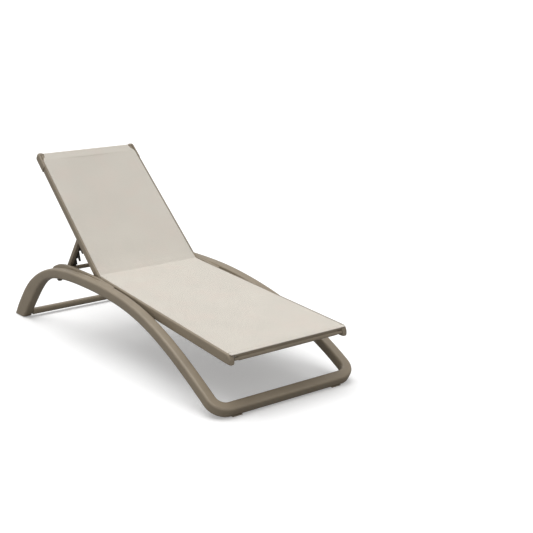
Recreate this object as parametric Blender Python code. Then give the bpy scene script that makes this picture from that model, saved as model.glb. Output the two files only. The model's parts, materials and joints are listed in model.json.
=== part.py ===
"""Stackable sling sun lounger with a raised back, as named solids in metres, +Z up.

X runs across the lounger, +Y towards the head end.  The origin is on the floor, midway
along the length.  The seat, the back and the prop are each modelled in a frame of their
own: an empty on the hinge or pivot axis, turned about X.
"""

import math

import bmesh
import bpy
import numpy as np
from mathutils import Matrix, Vector

# ---- driving dimensions ------------------------------------------------------------
GAP = 0.0003                # between pieces that touch
SIDES = 16                  # facets of small round pieces

# hinge axis of the back, which the arches, brackets and bars follow
HINGE_Y = 0.153
HINGE_Z = 0.333

# floor frame
FRONT_BAR_Y = -0.9201       # centre line of the front floor bar
REAR_FOOT_Y = 0.8994        # centre of each rear foot on the floor
GLIDE_THICK = 0.003
GLIDE_WIDTH = 0.028
GLIDE_LENGTH = 0.050        # of a front one, along the bar
GLIDE_INSET = 0.030         # from the start of the corner bend
BUMPER_Y = HINGE_Y + 0.307  # roughly; the nearest station of the arch carries it
BUMPER_RADIUS = 0.014
BUMPER_HEIGHT = 0.007
BUMPER_CLEAR = 0.0048       # the arch slopes here
TUBE_WIDTH = 0.045          # across the lounger
TUBE_DEPTH = 0.048          # in the plane of the arch
TUBE_CORNER = 0.009
REAR_LEG_DEPTH = 0.085      # the rear leg widens to this above its foot
REAR_FOOT_LENGTH = 0.098    # along the floor
ARCH_APEX_Y = HINGE_Y + 0.050
ARCH_APEX_Z = HINGE_Z - 0.0065  # centre line
ARCH_X = 0.320              # centre line, beside the hinge
FRONT_SPLAY = 0.029         # how much further out the front corner stands
REAR_SPLAY = 0.015
SPLAY_FRONT_FROM = -0.137
SPLAY_REAR_FROM = 0.643
LOOP_TILT = math.radians(30.5)
LOOP_RADIUS = 0.060         # centre line of the front corner bends
REAR_LEG_SLOPE = math.radians(50.4)
REAR_CREST_REACH = 0.48     # how far the crest runs back before it turns down
REAR_LEG_REACH = 0.28
REAR_BAR_Y = 0.838
REAR_BAR_Z = 0.027
REAR_BAR_RADIUS = 0.017

# seat and back
SEAT_SLOPE = math.radians(4.574)
SEAT_LENGTH = 1.104         # hinge axis to the front end of the rails
SLING_HALF_FOOT = 0.295     # centre of the sling groove, at the foot end
SLING_HALF_HINGE = 0.268
SLING_HALF_TOP = 0.260
RAIL_OUTSIDE = 0.010        # groove centre to the outer face of a rail
RAIL_INSIDE = 0.018
SEAT_RAIL_HEIGHT = 0.045
BACK_RAIL_HEIGHT = 0.038
RAIL_CORNER = 0.007
RAIL_RECESS = 0.002         # the sling lies this far below the outer lip
GROOVE_WIDTH = 0.003
GROOVE_DEPTH = 0.009
POCKET_RADIUS = 0.004
SPLINE_RADIUS = 0.003
SPLINE_SHORTER = 0.004      # than its groove, at each end
SLING_THICK = 0.0016
CREASE_GAP = 0.024          # hinge axis to the rear edge of the seat sling
SEAT_RAIL_REAR = 0.024      # hinge axis to the rear end of a seat rail
SEAT_CAP_LENGTH = 0.026
FRONT_CROSSBAR_SETBACK = 0.010
FRONT_CROSSBAR_RADIUS = 0.0100
HEM_BAR_HEIGHT = 0.012      # the blade in the sling's front hem, on top of the crossbar
HEM_BAR_DEPTH = 0.008
MID_CROSSBAR_SETBACK = 0.500
MID_CROSSBAR_RADIUS = 0.011
MID_CROSSBAR_RISE = -0.006
SPACER_AHEAD = 0.400        # of the hinge axis
SPACER_DROP = 0.048         # below the arch's apex
SPACER_LENGTH = 0.036
SPACER_HEIGHT = 0.020

BACK_ANGLE = math.radians(41.3)
BACK_LENGTH = 0.790
LUG_LENGTH = 0.045
BACK_SLING_START = 0.046    # up the back from the hinge axis
BACK_SLING_END = 0.7735
TOP_CAP_LENGTH = 0.095
TOP_CAP_PROUD = 0.003
END_PLUG_LENGTH = 0.016     # the rounded end of a back rail
TOP_BAR_RADIUS = 0.010
TOP_BAR_SETBACK = 0.0125
TOP_BAR_RISE = 0.004        # above the rails' middle
LOWER_BAR_RADIUS = 0.009
LOWER_BAR_UP = 0.062
LOWER_BAR_RISE = -0.004
BAR_END_GAP = 0.0005        # more than GAP, because the rails taper

# brackets between the arches and the rails
BRACKET_INSIDE = SLING_HALF_HINGE + 0.0153   # room for a rail, a lug and a washer
BRACKET_FRONT = HINGE_Y - 0.170
BRACKET_REAR = HINGE_Y + 0.470
BRACKET_TOP = HINGE_Z + 0.020
BRACKET_BOTTOM = HINGE_Z - 0.033
# along from the bracket's front end and up from its underside, which follows the arch
BRACKET_UNDERSIDE = ((0, -0.004), (0.21, 0.003), (0.41, -0.004), (0.53, -0.016),
                     (0.62, -0.036), (0.64, -0.030))
# along from its rear end and up from its top
BRACKET_SHOULDER = ((-0.008, -0.062), (-0.050, -0.031), (-0.100, -0.012), (-0.150, -0.004), (-0.22, 0))

# prop
PROP_PIVOT_UP = 0.294       # along the back from the hinge
PROP_ANGLE = math.radians(-52.6)
PROP_LENGTH = 0.275
PROP_ARM_HALF = 0.0105
PROP_ARM_INNER = 0.222
PROP_ARM_THICK = 0.018
RACK_THICK = 0.008
RACK_START = 0.078
RACK_FRONT = 0.0100         # front edge of the rack's spine
NOTCH_RELIEF = 0.0006       # each notch is cut a little into the spine
FINGER_PITCH = 0.056
FINGER_COUNT = 3
FINGER_FIRST = 0.090        # where the first finger leaves the spine
FINGER_LENGTH = 0.048
FINGER_LAST_SHORTER = 0.021  # the last one ends above the rest bar
FINGER_WIDTH = 0.008
FINGER_LEAN = math.radians(50)
REST_BAR_ALONG = 0.2529
REST_BAR_RADIUS = 0.0105
REST_CLEARANCE = 0.0005
ROOF_CLEARANCE = 0.0010
TIE_BAR_ALONG = 0.040
TIE_BAR_RADIUS = 0.008
HINGE_BAR_Y = HINGE_Y + 0.090
HINGE_BAR_RADIUS = 0.012
HINGE_BAR_CLEAR = 0.003     # below the flat back

PIN_RADIUS = 0.006
PIVOT_RADIUS = 0.005
SCREW_RADIUS = 0.003
SCREW_HEAD_RADIUS = 0.0055
SCREW_HEAD_THICK = 0.0024
RIVET_RADIUS = 0.0022
RIVET_RISE = 0.001          # off the arm's centre line, away from the fingers
BRACKET_SCREWS = ((0.160, -0.003), (0.390, -0.027))   # along and up from the hinge axis
SEAT_SCREW_AHEAD = 0.090    # of the hinge axis
SEAT_SCREW_DROP = 0.006     # below the rail's middle
BORE_CLEARANCE = 0.0003
BORE_OVERSHOOT = 0.010      # of a cutter past the faces that it opens

RESIN = ("taupe_resin", (0.245, 0.208, 0.165, 1.0), 0.55, 0.0)
SLING = ("cream_sling", (0.72, 0.68, 0.60, 1.0), 0.85, 0.0)
DARK = ("dark_nylon", (0.030, 0.026, 0.022, 1.0), 0.5, 0.0)
RUBBER = ("bumper_rubber", (0.05, 0.045, 0.04, 1.0), 0.8, 0.0)
STEEL = ("stainless_steel", (0.60, 0.60, 0.58, 1.0), 0.35, 1.0)

SIDES_OF_FRAME = (("left", -1.0), ("right", 1.0))


# ---- scene and materials -----------------------------------------------------------
def clear_scene():
    for old in list(bpy.data.objects):
        bpy.data.objects.remove(old, do_unlink=True)


def new_collection(name):
    collection = bpy.data.collections.new(name)
    bpy.context.scene.collection.children.link(collection)
    return collection


def material(finish):
    name, colour, roughness, metallic = finish
    made = bpy.data.materials.get(name) or bpy.data.materials.new(name)
    made.use_nodes = True
    shader = made.node_tree.nodes["Principled BSDF"]
    shader.inputs["Base Color"].default_value = colour
    shader.inputs["Roughness"].default_value = roughness
    shader.inputs["Metallic"].default_value = metallic
    made.diffuse_color = colour
    return made


def add_object(name, data, finish, parent=None, matrix=None):
    """Link an object to the lounger's collection, placed in its parent's frame."""
    made = bpy.data.objects.new(name, data)
    lounger.objects.link(made)
    data.materials.append(material(finish))
    if parent:
        made.parent = parent
    made.matrix_local = matrix or Matrix()
    return made


def add_frame(name, parent, place, turn):
    """An empty on an axis, turned about X, for the pieces that move with it."""
    empty = bpy.data.objects.new(name, None)
    lounger.objects.link(empty)
    empty.parent = parent
    empty.matrix_local = Matrix.Translation(place) @ Matrix.Rotation(turn, 4, "X")
    return empty


# ---- shapes ------------------------------------------------------------------------
def mesh_from(bm, name):
    bmesh.ops.recalc_face_normals(bm, faces=bm.faces[:])
    mesh = bpy.data.meshes.new(name)
    bm.to_mesh(mesh)
    bm.free()
    mesh.shade_smooth()
    mesh.set_sharp_from_angle(angle=math.radians(35))
    return mesh


def rounded_rectangle(width, depth, corner, steps=3):
    """Outline of a rounded rectangle, as (across, deep) pairs."""
    corner = min(corner, 0.49 * width, 0.49 * depth)
    centres = ((1, 1, 0), (-1, 1, 90), (-1, -1, 180), (1, -1, 270))
    outline = []
    for sign_w, sign_d, start in centres:
        for step in range(steps + 1):
            angle = math.radians(start + 90 * step / steps)
            outline.append((sign_w * (width / 2 - corner) + corner * math.cos(angle),
                            sign_d * (depth / 2 - corner) + corner * math.sin(angle)))
    return outline


def loft(name, stations):
    """Skin a row of rings.  A station is a centre, its two axes and an outline."""
    bm = bmesh.new()
    rings = []
    for centre, across, deep, outline in stations:
        rings.append([bm.verts.new(centre + across * u + deep * v) for u, v in outline])
    for ring, following in zip(rings, rings[1:]):
        for i in range(len(ring)):
            j = (i + 1) % len(ring)
            bm.faces.new((ring[i], ring[j], following[j], following[i]))
    bm.faces.new(rings[0])
    bm.faces.new(rings[-1])
    return mesh_from(bm, name)


def rod(name, start, end, radius, sides=SIDES, end_radius=None):
    """A solid cylinder or cone between two points."""
    start, end = Vector(start), Vector(end)
    axis = end - start
    bm = bmesh.new()
    place = Matrix.Translation((start + end) / 2) @ axis.to_track_quat("Z", "Y").to_matrix().to_4x4()
    bmesh.ops.create_cone(bm, cap_ends=True, segments=sides, radius1=radius,
                          radius2=radius if end_radius is None else end_radius,
                          depth=axis.length, matrix=place)
    return mesh_from(bm, name)


def facing(mesh, sign):
    """Mirror a piece that was made for the right side when the left one is wanted."""
    if sign < 0:
        mesh.transform(Matrix.Diagonal((-1, 1, 1, 1)))
        mesh.flip_normals()
    return mesh


def turned(name, profile, sides=SIDES):
    """A piece turned about X: profile holds (distance along X, radius) pairs."""
    bm = bmesh.new()
    rings = []
    for along, radius in profile:
        ring = []
        for i in range(sides):
            angle = 2 * math.pi * i / sides
            ring.append(bm.verts.new((along, radius * math.cos(angle), radius * math.sin(angle))))
        rings.append(ring)
    for ring, following in zip(rings, rings[1:]):
        for i in range(sides):
            j = (i + 1) % sides
            bm.faces.new((ring[i], ring[j], following[j], following[i]))
    bm.faces.new(rings[0])
    bm.faces.new(rings[-1])
    return mesh_from(bm, name)


def block(name, low, high, bevel=0.0, segments=2):
    """A box between two corners, with its edges rounded."""
    low, high = Vector(low), Vector(high)
    bm = bmesh.new()
    bmesh.ops.create_cube(bm, size=1.0, matrix=Matrix.Translation((low + high) / 2)
                          @ Matrix.Diagonal((*(high - low), 1.0)))
    if bevel:
        bmesh.ops.bevel(bm, geom=bm.edges[:], offset=bevel, segments=segments,
                        affect="EDGES", profile=0.5)
    return mesh_from(bm, name)


def flat_outline(name, outlines, thickness):
    """A 2D outline with its holes, filled and given a thickness about its own plane."""
    curve = bpy.data.curves.new(name, "CURVE")
    curve.dimensions = "2D"
    curve.fill_mode = "BOTH"
    curve.extrude = thickness / 2
    for outline in outlines:
        spline = curve.splines.new("POLY")
        spline.points.add(len(outline) - 1)
        for point, (u, v) in zip(spline.points, outline):
            point.co = (u, v, 0, 1)
        spline.use_cyclic_u = True
    holder = bpy.data.objects.new(name, curve)
    lounger.objects.link(holder)
    depsgraph = bpy.context.evaluated_depsgraph_get()
    mesh = bpy.data.meshes.new_from_object(holder.evaluated_get(depsgraph))
    bpy.data.objects.remove(holder, do_unlink=True)
    bpy.data.curves.remove(curve)
    bm = bmesh.new()
    bm.from_mesh(mesh)
    bmesh.ops.remove_doubles(bm, verts=bm.verts[:], dist=0.00002)
    bpy.data.meshes.remove(mesh)
    return mesh_from(bm, name)


def circle(centre, radius, sides=SIDES):
    angles = [2 * math.pi * i / sides for i in range(sides)]
    return [(centre[0] + radius * math.cos(a), centre[1] + radius * math.sin(a)) for a in angles]


def bore(target, start, end, radius, frame=None):
    """Cut a round hole between two points of the frame that the piece stands in."""
    name = f"{target.name}_bore_{len(target.modifiers)}"
    mesh = rod(name, start, end, radius)
    cutter = bpy.data.objects.new(name, mesh)
    cutters.objects.link(cutter)
    cutter.parent = frame
    cutter.hide_render = True
    cutter.display_type = "WIRE"
    cut = target.modifiers.new(name, "BOOLEAN")
    cut.operation = "DIFFERENCE"
    cut.solver = "EXACT"
    cut.object = cutter


def smooth_step(value):
    value = min(max(value, 0.0), 1.0)
    return value * value * (3 - 2 * value)


# ---- floor frame -------------------------------------------------------------------
FLOOR_BAR_Z = GLIDE_THICK + GAP + (
    (TUBE_DEPTH / 2 - TUBE_CORNER) * math.cos(LOOP_TILT)
    + (TUBE_WIDTH / 2 - TUBE_CORNER) * math.sin(LOOP_TILT) + TUBE_CORNER)
ARCH_FRONT_Y = FRONT_BAR_Y + LOOP_RADIUS * math.cos(LOOP_TILT)
ARCH_FRONT_Z = FLOOR_BAR_Z + LOOP_RADIUS * math.sin(LOOP_TILT)
FRONT_CORNER_X = ARCH_X + FRONT_SPLAY
TUBE_INNER = ARCH_X - TUBE_WIDTH / 2


def arch_x(y):
    """Distance of the arch's centre line from the middle: it splays at both ends."""
    front = smooth_step((SPLAY_FRONT_FROM - y) / (SPLAY_FRONT_FROM - ARCH_FRONT_Y))
    rear = smooth_step((y - SPLAY_REAR_FROM) / (REAR_FOOT_Y - SPLAY_REAR_FROM))
    return ARCH_X + FRONT_SPLAY * front + REAR_SPLAY * rear


def arch_centre_line():
    """Points (y, z, depth) from the front corner over the crest to the rear foot."""
    span = ARCH_APEX_Y - ARCH_FRONT_Y
    drop = ARCH_APEX_Z - ARCH_FRONT_Z
    power = math.tan(LOOP_TILT) * span / drop
    points = []
    for step in range(20):
        away = 1 - step / 20
        points.append((ARCH_APEX_Y - span * away, ARCH_APEX_Z - drop * away ** power, TUBE_DEPTH))
    corners = np.array((
        (ARCH_APEX_Y, ARCH_APEX_Z),
        (ARCH_APEX_Y + REAR_CREST_REACH, ARCH_APEX_Z),
        (REAR_FOOT_Y - REAR_LEG_REACH * math.cos(REAR_LEG_SLOPE),
         GLIDE_THICK + REAR_LEG_REACH * math.sin(REAR_LEG_SLOPE)),
        (REAR_FOOT_Y, GLIDE_THICK + GAP)))
    for step in range(23):
        t = step / 22
        weights = np.array(((1 - t) ** 3, 3 * t * (1 - t) ** 2, 3 * t * t * (1 - t), t ** 3))
        y, z = weights @ corners
        widen = smooth_step((t - 0.38) / 0.42)
        points.append((y, z, TUBE_DEPTH + (REAR_LEG_DEPTH - TUBE_DEPTH) * widen))
    return points


def side_arch(side, sign):
    points = arch_centre_line()
    stations = []
    for i, (y, z, depth) in enumerate(points):
        before, after = points[max(i - 1, 0)], points[min(i + 1, len(points) - 1)]
        tangent = Vector((0, after[0] - before[0], after[1] - before[1])).normalized()
        centre = Vector((sign * arch_x(y), y, z))
        deep = Vector((0, -tangent.z, tangent.y))
        if i == 0:
            deep = Vector((0, -math.sin(LOOP_TILT), math.cos(LOOP_TILT)))
        if i == len(points) - 1:
            deep = Vector((0, 1, 0))
            depth = REAR_FOOT_LENGTH
        outline = rounded_rectangle(TUBE_WIDTH, depth, TUBE_CORNER)
        stations.append((centre, Vector((1, 0, 0)), deep, outline))
    return add_object(f"side_arch_{side}", loft(f"side_arch_{side}", stations), RESIN)


def front_floor_bar():
    """The bar on the floor with both corner bends, in the tilted plane of the legs."""
    up_leg = Vector((0, math.cos(LOOP_TILT), math.sin(LOOP_TILT)))
    deep = Vector((0, -math.sin(LOOP_TILT), math.cos(LOOP_TILT)))
    bar = Vector((0, FRONT_BAR_Y, FLOOR_BAR_Z))
    outline = rounded_rectangle(TUBE_WIDTH, TUBE_DEPTH, TUBE_CORNER)
    stations = []
    for sign in (-1.0, 1.0):
        bend_centre = bar + Vector((sign * (FRONT_CORNER_X - LOOP_RADIUS), 0, 0)) + up_leg * LOOP_RADIUS
        row = []
        for step in range(9):
            angle = math.radians(90 * step / 8)
            out = Vector((sign, 0, 0)) * math.cos(angle) - up_leg * math.sin(angle)
            row.append((bend_centre + out * LOOP_RADIUS - up_leg * (GAP if step == 0 else 0),
                        out, deep, outline))
        stations += row if sign < 0 else row[::-1]
    return add_object("front_floor_bar", loft("front_floor_bar", stations), RESIN)


def rear_floor_bar():
    reach = arch_x(REAR_BAR_Y) - TUBE_WIDTH / 2 - GAP
    name = "rear_floor_bar"
    mesh = rod(name, (-reach, REAR_BAR_Y, REAR_BAR_Z), (reach, REAR_BAR_Y, REAR_BAR_Z),
               REAR_BAR_RADIUS, sides=20)
    return add_object(name, mesh, RESIN)


def glides(side, sign):
    """Thin pads under the front bar and under the rear foot."""
    across = sign * (FRONT_CORNER_X - LOOP_RADIUS - GLIDE_INSET)
    name = f"front_glide_{side}"
    mesh = block(name, (across - GLIDE_LENGTH / 2, FRONT_BAR_Y - GLIDE_WIDTH / 2, 0),
                 (across + GLIDE_LENGTH / 2, FRONT_BAR_Y + GLIDE_WIDTH / 2, GLIDE_THICK), 0.001, 1)
    add_object(name, mesh, RESIN)
    across = sign * arch_x(REAR_FOOT_Y)
    length = REAR_FOOT_LENGTH - 2 * TUBE_CORNER
    name = f"rear_glide_{side}"
    mesh = block(name, (across - GLIDE_WIDTH / 2, REAR_FOOT_Y - length / 2, 0),
                 (across + GLIDE_WIDTH / 2, REAR_FOOT_Y + length / 2, GLIDE_THICK), 0.001, 1)
    add_object(name, mesh, RESIN)


def stack_bumper(side, sign):
    """A stud under the crest of the arch, which keeps stacked loungers apart."""
    points = arch_centre_line()
    y, z, depth = min(points, key=lambda point: abs(point[0] - BUMPER_Y))
    base = z - depth / 2 - BUMPER_CLEAR
    name = f"stack_bumper_{side}"
    mesh = rod(name, (sign * ARCH_X, y, base - BUMPER_HEIGHT), (sign * ARCH_X, y, base),
               BUMPER_RADIUS * 0.75, 12, BUMPER_RADIUS)
    add_object(name, mesh, RUBBER)


# ---- brackets and cross bars -------------------------------------------------------
def frame_bracket(side, sign):
    """A plate along the inner face of the arch, which carries the hinge and the bars."""
    outside = TUBE_INNER - GAP
    outline = [(BRACKET_FRONT + along, BRACKET_BOTTOM + up) for along, up in BRACKET_UNDERSIDE]
    outline += [(BRACKET_REAR + along, BRACKET_TOP + up) for along, up in BRACKET_SHOULDER]
    outline += [(HINGE_Y + 0.04, BRACKET_TOP), (HINGE_Y - 0.04, BRACKET_TOP - 0.004),
                (BRACKET_FRONT, BRACKET_TOP - 0.016)]
    name = f"frame_bracket_{side}"
    mesh = flat_outline(name, [outline], outside - BRACKET_INSIDE)
    middle = sign * (outside + BRACKET_INSIDE) / 2
    turn = Matrix(((0, 0, 1, middle), (1, 0, 0, 0), (0, 1, 0, 0), (0, 0, 0, 1)))
    made = add_object(name, mesh, RESIN, matrix=turn)
    bore(made, (sign * (BRACKET_INSIDE - BORE_OVERSHOOT), HINGE_Y, HINGE_Z),
         (sign * (TUBE_INNER + BORE_OVERSHOOT), HINGE_Y, HINGE_Z), PIN_RADIUS + BORE_CLEARANCE)
    return made


def rest_bar_place():
    """Where the prop's lowest notch sits at rest: in front of the arms, in world Y and Z."""
    up_the_back = Vector((math.cos(BACK_ANGLE), math.sin(BACK_ANGLE)))
    pivot = Vector((HINGE_Y, HINGE_Z)) + PROP_PIVOT_UP * up_the_back
    along = Vector((math.cos(PROP_ANGLE), math.sin(PROP_ANGLE)))
    forward = Vector((along.y, -along.x))
    return pivot + along * REST_BAR_ALONG + forward * REST_BAR_FORWARD


def cross_bar(name, y, z, reach, radius, finish=RESIN, sides=SIDES):
    return add_object(name, rod(name, (-reach, y, z), (reach, y, z), radius, sides), finish)


REST_BAR_FORWARD = PROP_ARM_HALF + REST_BAR_RADIUS + REST_CLEARANCE
HINGE_BAR_Z = (HINGE_Z + (HINGE_BAR_Y - HINGE_Y) * math.tan(SEAT_SLOPE)
               - BACK_RAIL_HEIGHT / 2 - HINGE_BAR_CLEAR - HINGE_BAR_RADIUS)


def frame_bars():
    reach = BRACKET_INSIDE - GAP
    cross_bar("hinge_crossbar", HINGE_BAR_Y, HINGE_BAR_Z, reach, HINGE_BAR_RADIUS)
    rest = rest_bar_place()
    cross_bar("prop_rest_bar", rest.x, rest.y, reach, REST_BAR_RADIUS, sides=20)


# ---- rails -------------------------------------------------------------------------
def rail_outline(sign, height, proud=0.0):
    """Section of a rail about its groove: (outwards, up), with the keyhole groove.

    proud thickens the outer face and the underside, and leaves the lip and the groove alone.
    """
    lip, deck, bottom = height / 2, height / 2 - RAIL_RECESS, -height / 2 - proud
    outer, inner = RAIL_OUTSIDE + proud, -RAIL_INSIDE
    half = GROOVE_WIDTH / 2
    pocket = height / 2 - GROOVE_DEPTH - POCKET_RADIUS
    mouth = math.degrees(math.asin(half / POCKET_RADIUS))
    outline = []

    def arc(centre_u, centre_v, radius, start, end, steps):
        for step in range(steps + 1):
            angle = math.radians(start + (end - start) * step / steps)
            outline.append((centre_u + radius * math.cos(angle), centre_v + radius * math.sin(angle)))

    arc(outer - RAIL_CORNER, bottom + RAIL_CORNER, RAIL_CORNER, -90, 0, 3)
    arc(outer - RAIL_CORNER, lip - RAIL_CORNER, RAIL_CORNER, 0, 90, 3)
    outline.append((half, lip))
    arc(0, pocket, POCKET_RADIUS, 90 - mouth, -270 + mouth, 10)
    outline.append((-half, deck))
    arc(inner + RAIL_CORNER / 2, deck - RAIL_CORNER / 2, RAIL_CORNER / 2, 90, 180, 2)
    arc(inner + RAIL_CORNER, bottom + RAIL_CORNER, RAIL_CORNER, 180, 270, 3)
    return [(sign * u, v) for u, v in outline]


def rail_matrix(sign, half_at_hinge, half_at_end, length, start, end, direction):
    """Frame of a rail: its section's plane turned square to a line that tapers with the sling.

    direction is +1 where the rail runs up the back, -1 where it runs down the seat.
    """
    lean = math.atan2(half_at_end - half_at_hinge, length)
    middle = (start + end) / 2
    across = half_at_hinge + (half_at_end - half_at_hinge) * middle / length
    section = Matrix(((1, 0, 0, 0), (0, 0, -1, 0), (0, 1, 0, 0), (0, 0, 0, 1)))
    place = Matrix.Translation((sign * across, direction * middle, 0))
    return place @ Matrix.Rotation(-direction * sign * lean, 4, "Z") @ section


def seat_half(distance):
    """Half width of the sling at a distance from the hinge towards the foot."""
    return SLING_HALF_HINGE + (SLING_HALF_FOOT - SLING_HALF_HINGE) * distance / SEAT_LENGTH


def back_half(distance):
    """Half width of the sling at a distance up the back."""
    return SLING_HALF_HINGE + (SLING_HALF_TOP - SLING_HALF_HINGE) * distance / BACK_LENGTH


def seat_rail(side, sign):
    start, end = SEAT_RAIL_REAR, SEAT_LENGTH - SEAT_CAP_LENGTH
    place = rail_matrix(sign, SLING_HALF_HINGE, SLING_HALF_FOOT, SEAT_LENGTH, start, end, -1)
    name = f"seat_rail_{side}"
    mesh = flat_outline(name, [rail_outline(sign, SEAT_RAIL_HEIGHT)], end - start)
    made = add_object(name, mesh, RESIN, seat, place)
    name = f"seat_spline_{side}"
    pocket = SEAT_RAIL_HEIGHT / 2 - GROOVE_DEPTH - POCKET_RADIUS
    reach = (end - start) / 2 - SPLINE_SHORTER
    mesh = rod(name, (0, pocket, -reach), (0, pocket, reach), SPLINE_RADIUS, 8)
    add_object(name, mesh, DARK, seat, place)
    return made


def seat_rail_cap(side, sign):
    """The rounded plug at the foot end of a seat rail, curled down at its tip."""
    start, end = SEAT_LENGTH - SEAT_CAP_LENGTH + GAP, SEAT_LENGTH
    place = rail_matrix(sign, SLING_HALF_HINGE, SLING_HALF_FOOT, SEAT_LENGTH, start, end, -1)
    name = f"seat_rail_cap_{side}"
    length = end - start
    stations = []
    for step in range(7):
        t = step / 6
        curl = 1 - math.sqrt(max(1 - (0.96 * t) ** 2, 0.0))
        height = SEAT_RAIL_HEIGHT * (1 - 0.72 * curl)
        drop = -SEAT_RAIL_HEIGHT * 0.34 * curl
        width = (RAIL_OUTSIDE + RAIL_INSIDE) * (1 - 0.30 * curl)
        centre = Vector((sign * (RAIL_OUTSIDE - RAIL_INSIDE) / 2, drop, -length / 2 + length * t))
        stations.append((centre, Vector((1, 0, 0)), Vector((0, 1, 0)),
                         rounded_rectangle(width, height, RAIL_CORNER)))
    add_object(name, loft(name, stations), RESIN, seat, place)


def seat_bars():
    """Bars that hold the seat rails apart, two at the foot end and one midway."""
    distance = SEAT_LENGTH - FRONT_CROSSBAR_SETBACK
    reach = seat_half(distance) - RAIL_INSIDE - BAR_END_GAP
    blade_top = SEAT_RAIL_HEIGHT / 2 - RAIL_RECESS - GAP
    low = blade_top - HEM_BAR_HEIGHT - GAP - FRONT_CROSSBAR_RADIUS
    stations = []
    for along, scale in ((-1, 0.62), (-0.955, 0.66), (-0.90, 1), (0.90, 1), (0.955, 0.66), (1, 0.62)):
        centre = Vector((along * reach, -distance, low))
        ring = circle((0, 0), FRONT_CROSSBAR_RADIUS, SIDES)
        outline = [(u, v * scale) for u, v in ring]
        stations.append((centre, Vector((0, 1, 0)), Vector((0, 0, 1)), outline))
    add_object("seat_front_crossbar", loft("seat_front_crossbar", stations), RESIN, seat)
    mesh = block("seat_hem_bar", (-reach, -distance - HEM_BAR_DEPTH / 2, blade_top - HEM_BAR_HEIGHT),
                 (reach, -distance + HEM_BAR_DEPTH / 2, blade_top), 0.001, 2)
    add_object("seat_hem_bar", mesh, RESIN, seat)
    reach = seat_half(MID_CROSSBAR_SETBACK) - RAIL_INSIDE - BAR_END_GAP
    name = "seat_mid_crossbar"
    mesh = rod(name, (-reach, -MID_CROSSBAR_SETBACK, MID_CROSSBAR_RISE),
               (reach, -MID_CROSSBAR_SETBACK, MID_CROSSBAR_RISE), MID_CROSSBAR_RADIUS)
    add_object(name, mesh, RESIN, seat)


def rail_spacer(side, sign):
    """A block that joins the seat rail to the inner face of the arch."""
    inside = seat_half(SPACER_AHEAD + SPACER_LENGTH / 2) + RAIL_OUTSIDE + 2 * GAP
    outside = TUBE_INNER - GAP
    low_x, high_x = sorted((sign * inside, sign * outside))
    y = HINGE_Y - SPACER_AHEAD
    z = ARCH_APEX_Z - SPACER_DROP
    name = f"rail_spacer_{side}"
    mesh = block(name, (low_x, y - SPACER_LENGTH / 2, z - SPACER_HEIGHT / 2),
                 (high_x, y + SPACER_LENGTH / 2, z + SPACER_HEIGHT / 2))
    add_object(name, mesh, RESIN)


# ---- sling -------------------------------------------------------------------------
def sling_outline(half, level):
    """Cross section of the stretched sheet, with its edges turned down into the grooves."""
    thick = SLING_THICK
    leg = thick / 2
    depth = GROOVE_DEPTH - RAIL_RECESS - 0.001
    return [(-half - leg, level + thick), (-half - leg, level - depth), (-half + leg, level - depth),
            (-half + leg, level), (half - leg, level), (half - leg, level - depth),
            (half + leg, level - depth), (half + leg, level + thick)]


def sling(name, start, end, half_start, half_end, level, parent):
    stations = []
    for y, half in ((start, half_start), (end, half_end)):
        stations.append((Vector((0, y, 0)), Vector((1, 0, 0)), Vector((0, 0, 1)),
                         sling_outline(half, level)))
    return add_object(name, loft(name, stations), SLING, parent)


# ---- back --------------------------------------------------------------------------
def back_rail(side, sign):
    start, end = LUG_LENGTH, BACK_LENGTH - TOP_CAP_LENGTH
    place = rail_matrix(sign, SLING_HALF_HINGE, SLING_HALF_TOP, BACK_LENGTH, start, end, 1)
    name = f"back_rail_{side}"
    mesh = flat_outline(name, [rail_outline(sign, BACK_RAIL_HEIGHT)], end - start)
    add_object(name, mesh, RESIN, back, place)

    start, end = LUG_LENGTH + SPLINE_SHORTER, BACK_LENGTH - END_PLUG_LENGTH - SPLINE_SHORTER
    place = rail_matrix(sign, SLING_HALF_HINGE, SLING_HALF_TOP, BACK_LENGTH, start, end, 1)
    name = f"back_spline_{side}"
    pocket = BACK_RAIL_HEIGHT / 2 - GROOVE_DEPTH - POCKET_RADIUS
    mesh = rod(name, (0, pocket, -(end - start) / 2), (0, pocket, (end - start) / 2), SPLINE_RADIUS, 8)
    add_object(name, mesh, DARK, back, place)


def back_top_cap(side, sign):
    """The thicker moulded end of a back rail, which is also the grip."""
    start, end = BACK_LENGTH - TOP_CAP_LENGTH + GAP, BACK_LENGTH - END_PLUG_LENGTH
    place = rail_matrix(sign, SLING_HALF_HINGE, SLING_HALF_TOP, BACK_LENGTH, start, end, 1)
    outline = rail_outline(sign, BACK_RAIL_HEIGHT, proud=TOP_CAP_PROUD)
    name = f"back_top_cap_{side}"
    add_object(name, flat_outline(name, [outline], end - start), RESIN, back, place)

    start, end = BACK_LENGTH - END_PLUG_LENGTH + GAP, BACK_LENGTH
    place = rail_matrix(sign, SLING_HALF_HINGE, SLING_HALF_TOP, BACK_LENGTH, start, end, 1)
    middle = sign * (RAIL_OUTSIDE + TOP_CAP_PROUD - RAIL_INSIDE) / 2
    name = f"back_end_plug_{side}"
    length = end - start
    stations = []
    for step in range(6):
        t = step / 5
        curl = 1 - math.sqrt(max(1 - (0.94 * t) ** 2, 0.0))
        width = RAIL_OUTSIDE + RAIL_INSIDE + TOP_CAP_PROUD - END_PLUG_LENGTH * curl
        height = BACK_RAIL_HEIGHT + TOP_CAP_PROUD - 1.25 * END_PLUG_LENGTH * curl
        centre = Vector((middle, -TOP_CAP_PROUD / 2, length / 2 - length * t))
        stations.append((centre, Vector((1, 0, 0)), Vector((0, 1, 0)),
                         rounded_rectangle(width, height, RAIL_CORNER)))
    add_object(name, loft(name, stations), RESIN, back, place)


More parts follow.
